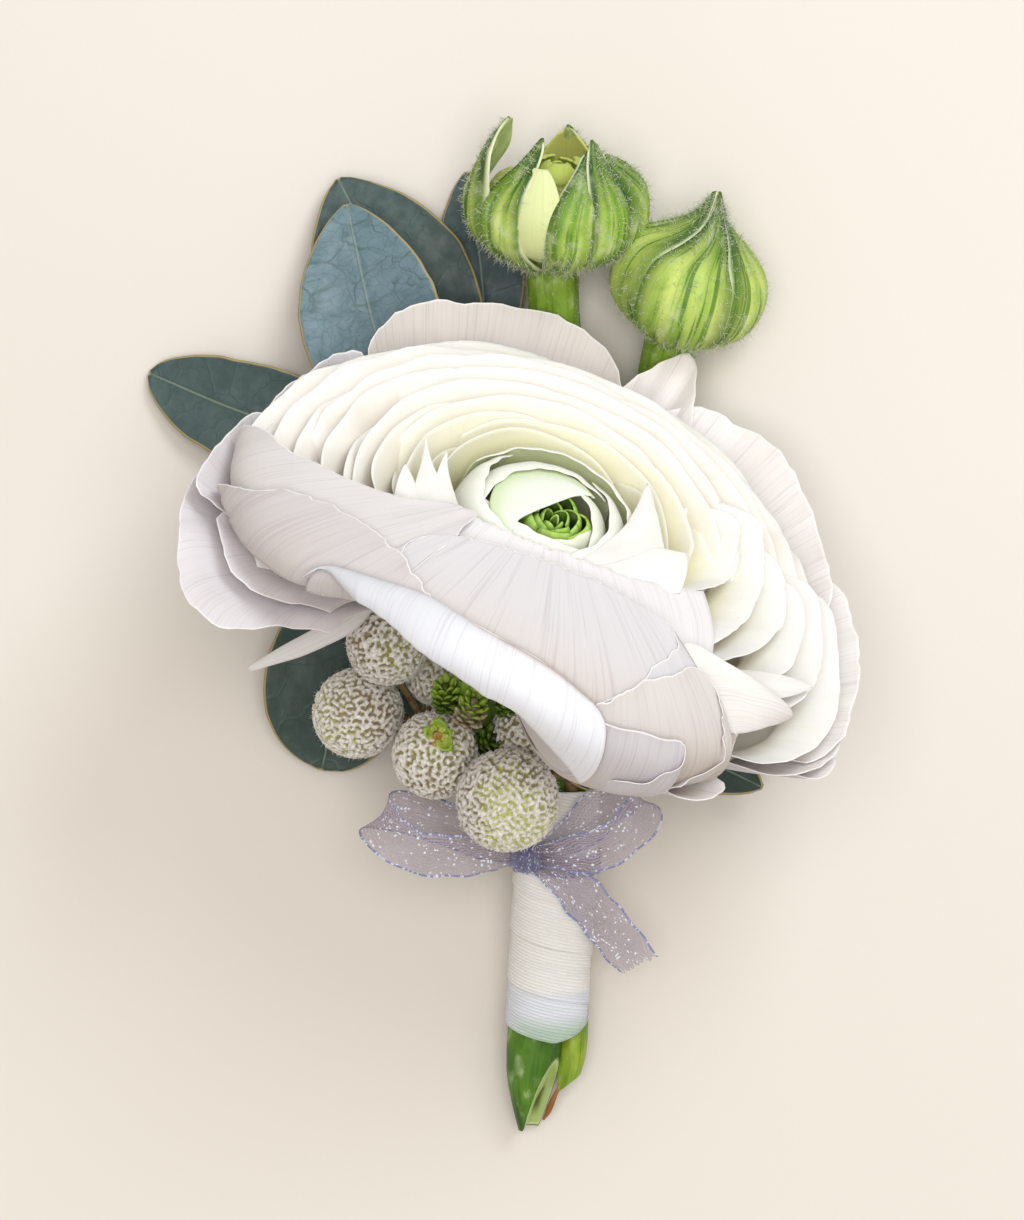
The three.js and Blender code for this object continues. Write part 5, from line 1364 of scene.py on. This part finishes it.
def build_brunia():
    with piece("brunia_hairs", HAIR, "brunia") as hairs:
        for k, (centre, radius, green) in enumerate(BRUNIA_HEADS):
            with piece(f"brunia_ball_{k + 1}", BRUNIA, "brunia", f"brunia_head_{k + 1}") as shape:
                cuts = HEAD_CUTS if k < 5 else HIDDEN_HEAD_CUTS
                brunia_head(shape, hairs, np.array(centre), radius, green, 1200 + 11 * k, cuts)
    with piece("brunia_twigs", TWIG, "twig", "brunia_stem") as shape:
        fork, knee, hub, end = (3, -21, 17.6), (-2.4, -20.6, 17.2), (-6.4, -18, 14.6), (-11.2, -14, 12.2)
        twigs(shape, (
            ([*in_bundle((4, 18, 33.6), 1.3, 3.5), fork, knee, hub, end], 0.8, 50),
            ([end, (-14.1, -9.4, 16.2), (-15.2, -6.2, 19.0)], 0.5, 14), ([end, (-16.2, -13.5, 14.1)], 0.5, 8),
            ([hub, (-8.4, -18.2, 19.0)], 0.5, 8), ([knee, (-1.2, -22.6, 24.6)], 0.5, 8),
            ([fork, (2.6, -18.4, 19.4)], 0.5, 8), ([end, (-10.2, -10.8, 13.0)], 0.5, 8),
        ), 10, [srgb(124, 104, 66)] * 2, 1270, 0.12)
    with piece("brunia_florets", FLORET, "brunia") as shape:
        silver, lime, dark = srgb(206, 186, 170), srgb(164, 190, 70), srgb(96, 122, 36)
        for k, given in enumerate((
                ((-5.2, -12.6, 25.6), (0.25, 0.6, 0.75), 1.75, 5.0, (silver, lime)),
                ((-8.2, -10.8, 24.6), (-0.1, 0.7, 0.7), 1.7, 4.4, (dark, lime)),
                ((-2.7, -16.6, 22.6), (0.3, 0.3, 0.9), 1.8, 4.6, (srgb(60, 76, 22), dark)),
                ((-0.4, -11.6, 25.2), (0.1, 0.5, 0.85), 1.6, 4.0, (dark, srgb(120, 150, 44))))):
            cone(shape, *given, 1290 + k)
        for j, (root, way, length, width) in enumerate((
                ((-9.3, -14.9, 27.0), (0.15, 1.0, 0.55), 2.7, 1.0),
                ((-8.7, -15.6, 27.1), (0.95, 0.35, 0.5), 2.2, 0.9),
                ((-8.8, -16.2, 27.2), (0.75, -0.8, 0.5), 3.0, 1.0),
                ((-9.9, -15.4, 27.0), (-0.9, 0.35, 0.5), 2.2, 0.9))):
            tints = srgb(222, 226, 130), srgb(172, 206, 76)
            floret(shape, root, way, np.cross(way, (0, 0, 1)), length, width, tints, 0.9)
            tints = srgb(170, 110, 66), srgb(222, 176, 120)
            back = np.array(way) * (-0.6, -0.7, 0.4)
            floret(shape, np.array(root) + (0, -0.2, -0.1), back, (1, 0.3 * j, 0), 1.7, 0.6, tints, 0.6)


# ---------- wrap and bow ----------

TAPE_WIDTH, TAPE_PITCH, TAPE_TURN = 10.5, 6.1, 33.6  # a turn's length is measured round the bundle
WRAP_LENGTH, WRAP_RADIUS = 33.0, 5.35
RIBBON_WIDTH, RIBBON_THICKNESS, TAPE_THICKNESS = 5.6, 0.07, 0.12
LILAC = srgb(186, 176, 192)


def build_wrap():
    """The stem tape, wound upwards so that each turn covers part of the one below."""
    turns = (WRAP_LENGTH - TAPE_WIDTH + 6.0) / TAPE_PITCH
    t = np.linspace(0, turns, int(turns * 48))[:, None]
    w = np.linspace(0, 1, 39)[None]
    angle = t * FULL_TURN - 1.2
    s = 0.4 + t * TAPE_PITCH + w * TAPE_WIDTH - 3.0 + 0.25 * ripple(1300, 0.2, 0.7, t)
    s = np.clip(s, 1.85 + 0.85 * np.cos(angle) - 2.0 * np.sin(angle) - 0.2 * w, WRAP_LENGTH - 0.1 * w)
    r = WRAP_RADIUS - 0.36 + 0.36 * (1 - w) ** 0.7 + 0.05 * ripple(1301, 0.1, 0.5, w * 4, t * 2)
    r = r + 0.02 * np.cos(FULL_TURN * w * TAPE_WIDTH / CREPE_PITCH)
    green = 0.85 * ease(s, 4.2, 0.8) * ease(np.sin(angle + 0.4), -0.2, 0.9)
    # Painted shade: the tape turns bluish at its lower end.
    ivory = blend(srgb(254, 253, 251), srgb(240, 245, 255), ease(s, 7.0, 6.0))
    with piece("stem_tape", CREPE, "crepe_tape", "stem_wrap") as shape:
        grid = bundle(s, r * np.cos(angle), r * np.sin(angle))
        tint = blend(ivory, srgb(176, 204, 178), green)
        sheet(shape, grid, TAPE_THICKNESS, tint, places(w * TAPE_WIDTH, t * TAPE_TURN, 0))


STRETCHES = {
    "left": [((1.2, -31.4, 16), (0, 0.5, 0.3)), ((-5.3, -31.2, 18.6), (0, 1, 0.3)),
        ((-11.4, -30.9, 20), (0.25, 1, 0.35)), ((-15.5, -28.6, 19.6), (0.6, 0.9, 0.2)),
        ((-16.9, -26.4, 17.4), (0.9, 0.75, 0.1)), ((-14.6, -25.6, 15.2), (0.4, 1, -0.1)),
        ((-9.1, -27, 14.6), (0, 1, -0.2)), ((-3.4, -29.6, 15.2), (0, 1, 0)),
        ((1, -31.2, 15.6), (0, 0.5, 0))],
    "right": [((2.4, -31.4, 16.4), (0, 0.5, 0.3)), ((6.1, -31.1, 18.4), (-0.2, 1, 0.3)),
        ((11.2, -30.3, 20.2), (-0.4, 1, 0.3)), ((15.2, -27.6, 20.8), (-0.6, 1, 0.2)),
        ((16.9, -24.8, 19.6), (-0.8, 0.8, 0)), ((15.2, -23, 18), (-0.6, 0.8, 0)),
        ((11.8, -24.8, 17.2), (-0.7, 0.9, 0)), ((8.6, -28, 17.4), (-0.6, 0.9, 0.1)),
        ((3, -31.2, 16.4), (-0.2, 0.5, 0.1))],
    "tail": [((2.4, -31.8, 15.6), (0.2, 0.5, 0.1)), ((5.2, -33.4, 15.9), (0.5, 0.8, 0.1)),
        ((8.4, -36, 14.8), (0.75, 0.7, 0.1)), ((11.6, -39.6, 12.4), (0.8, 0.6, 0)),
        ((14.1, -42.8, 9.8), (0.95, 0.45, 0)), ((16.2, -45.4, 7.6), (1.0, 0.25, 0))],
}


def ribbon(shape, stations, seed, frayed):
    """A stretch of ribbon through stations of (place, way across); a short way across narrows it."""
    rows, cols = 20 * (len(stations) - 1), 23
    line, way = (spline(given, rows) for given in zip(*stations))
    size = np.minimum(1, np.linalg.norm(way, axis=1))[:, None]
    along, across = unit(np.gradient(line, axis=0)), unit(way)
    across = unit(across - along * (across * along).sum(-1, keepdims=True))
    length = steps(line).sum()
    u, share = spans(cols, rows)
    y = share * length
    pinch = np.clip((1 - size) / 0.5, 0, 1)
    gather = np.exp(-(np.minimum(y, 99) if frayed else np.minimum(y, length - y)) / 3.2)
    sway = 0.6 * ripple(seed, 0.1, 0.3, share * 9)
    height = (0.5 * gather + 0.12 * pinch) * np.cos(u * 7.5 + sway + seed)
    height = height + 0.24 * ripple(seed + 1, 0.04, 0.11, u * 2.8, y) * (0.3 + np.abs(u))
    height = height + 0.07 * ripple(seed + 2, 0.3, 0.6, u * 1.2, y)
    slip = 0.12 * ripple(seed + 3, 0.08, 0.25, y) * u
    wide = u * RIBBON_WIDTH / 2 * size * (1 - 0.35 * gather) + slip
    grid = strip(line, across, along, wide, height)
    if frayed:
        tatter = 0.5 * ripple(seed + 4, 0.6, 1.6, u * 2.8) + 0.35 * np.abs(u)
        grid = grid + along[-1] * (tatter * ease(share, 0.93, 1))[..., None]
    edge = (1 - np.abs(u)) * RIBBON_WIDTH / 2 + 0 * y
    place = places(u * RIBBON_WIDTH / 2, y, seed)
    sheet(shape, grid, RIBBON_THICKNESS, blend(LILAC, LILAC * 0.72, gather + 0 * u), place, edge)


def build_bow():
    with piece("organza_bow", ORGANZA, "organza", "ribbon_bow") as shape:
        for k, (name, stations) in enumerate(STRETCHES.items()):
            ribbon(shape, stations, 1400 + 7 * k, name == "tail")
        turn, v = circle(40)[None], np.linspace(-1, 1, 9)[:, None]
        for j in range(5):
            radius, round_off = 1.75 + 0.1 * math.cos(3 * j), 1 - 0.06 * v ** 2
            x = -1.2 + 0.6 * j + v * 0.42 + 0.125 * (j - 2) * np.sin(turn)
            y = radius * np.cos(turn) * round_off + 0.08 * np.cos(5 * turn + j)
            z = radius * 0.86 * np.sin(turn) * round_off + 0.08 * np.sin(7 * turn + 2 * j)
            grid = np.array((1.8, -31.4, 16.2)) + np.stack(np.broadcast_arrays(x, y, z), -1)
            sheet(shape, grid, 0.1, srgb(140, 140, 182), places(v * 2, turn * 1.7, 1450 + j), ring=True)
        turn, v = circle(72)[None], np.linspace(0, 1, 15)[:, None]
        r = WRAP_RADIUS + 0.42 + 0.1 * np.cos(v * 17 + 2 * np.sin(turn))
        grid = bundle(lerp(21.9, 24.6, v) + 0 * turn, r * np.cos(turn), r * np.sin(turn))
        edge = (0.5 - np.abs(v - 0.5)) * 4 + 0 * turn
        sheet(shape, grid, 0.08, LILAC * 0.85, places(v * 4, turn * 5.4, 1460), edge, ring=True)


# ---------- camera, floor and light ----------

def add_camera():
    data = bpy.data.cameras.new("camera")
    data.lens, data.sensor_width = LENS, 36.0
    bpy.context.scene.camera = link(bpy.data.objects.new("camera", data))
    bpy.context.scene.camera.location = (PLACE[0] * MM, PLACE[1] * MM, CAMERA_HEIGHT)


def add_lamp(name, place, size, power, colour):
    data = bpy.data.lights.new(name, "AREA")
    data.shape, data.size, data.energy, data.color = "DISK", size, power, colour
    lamp = link(bpy.data.objects.new(name, data))
    lamp.location = place
    lamp.rotation_euler = (Vector((0, 0, 0.02)) - Vector(place)).to_track_quat("-Z", "Y").to_euler()


def add_stage():
    scene = bpy.context.scene
    scene.view_settings.view_transform = "Standard"
    scene.world = bpy.data.worlds.new("studio")
    scene.world.use_nodes = True
    sky = scene.world.node_tree.nodes["Background"].inputs
    sky["Color"].default_value, sky["Strength"].default_value = (1.0, 0.945, 0.87, 1), 0.505
    mesh, half = bpy.data.meshes.new("floor"), FLOOR_SIZE / 2
    corners = [(-half, -half, 0), (half, -half, 0), (half, half, 0), (-half, half, 0)]
    mesh.from_pydata(corners, [], [(0, 1, 2, 3)])
    floor = link(bpy.data.objects.new("floor", mesh))
    m = Nodes("paper")
    at = m.node("TexCoord").outputs["Object"]
    grain, cloud = m.noise(at, scale=1400.0, detail=3.0), m.noise(at, scale=9.0, detail=1.0)
    colour = m.mix(m.fade(cloud, 0.3, 0.7), srgb(223, 216, 208), srgb(220, 213, 204))
    mesh.materials.append(m.finish(colour, m.fade(grain, 0.2, 0.8, 0.85, 0.95), grain, 0.03, 0.4))
    add_lamp("key", (0.24, 0.36, 0.52), 0.30, 1.76, (0.88, 0.95, 1.0))
    add_lamp("overhead", (0.02, -0.02, 1.15), 0.8, 7.7, (1.0, 0.99, 0.972))


add_camera()
add_stage()
for build in (build_outer_petals, build_heart, build_flower_stem, build_bud_stems, build_buds, build_eucalyptus,
              build_brunia, build_wrap, build_bow):
    build()
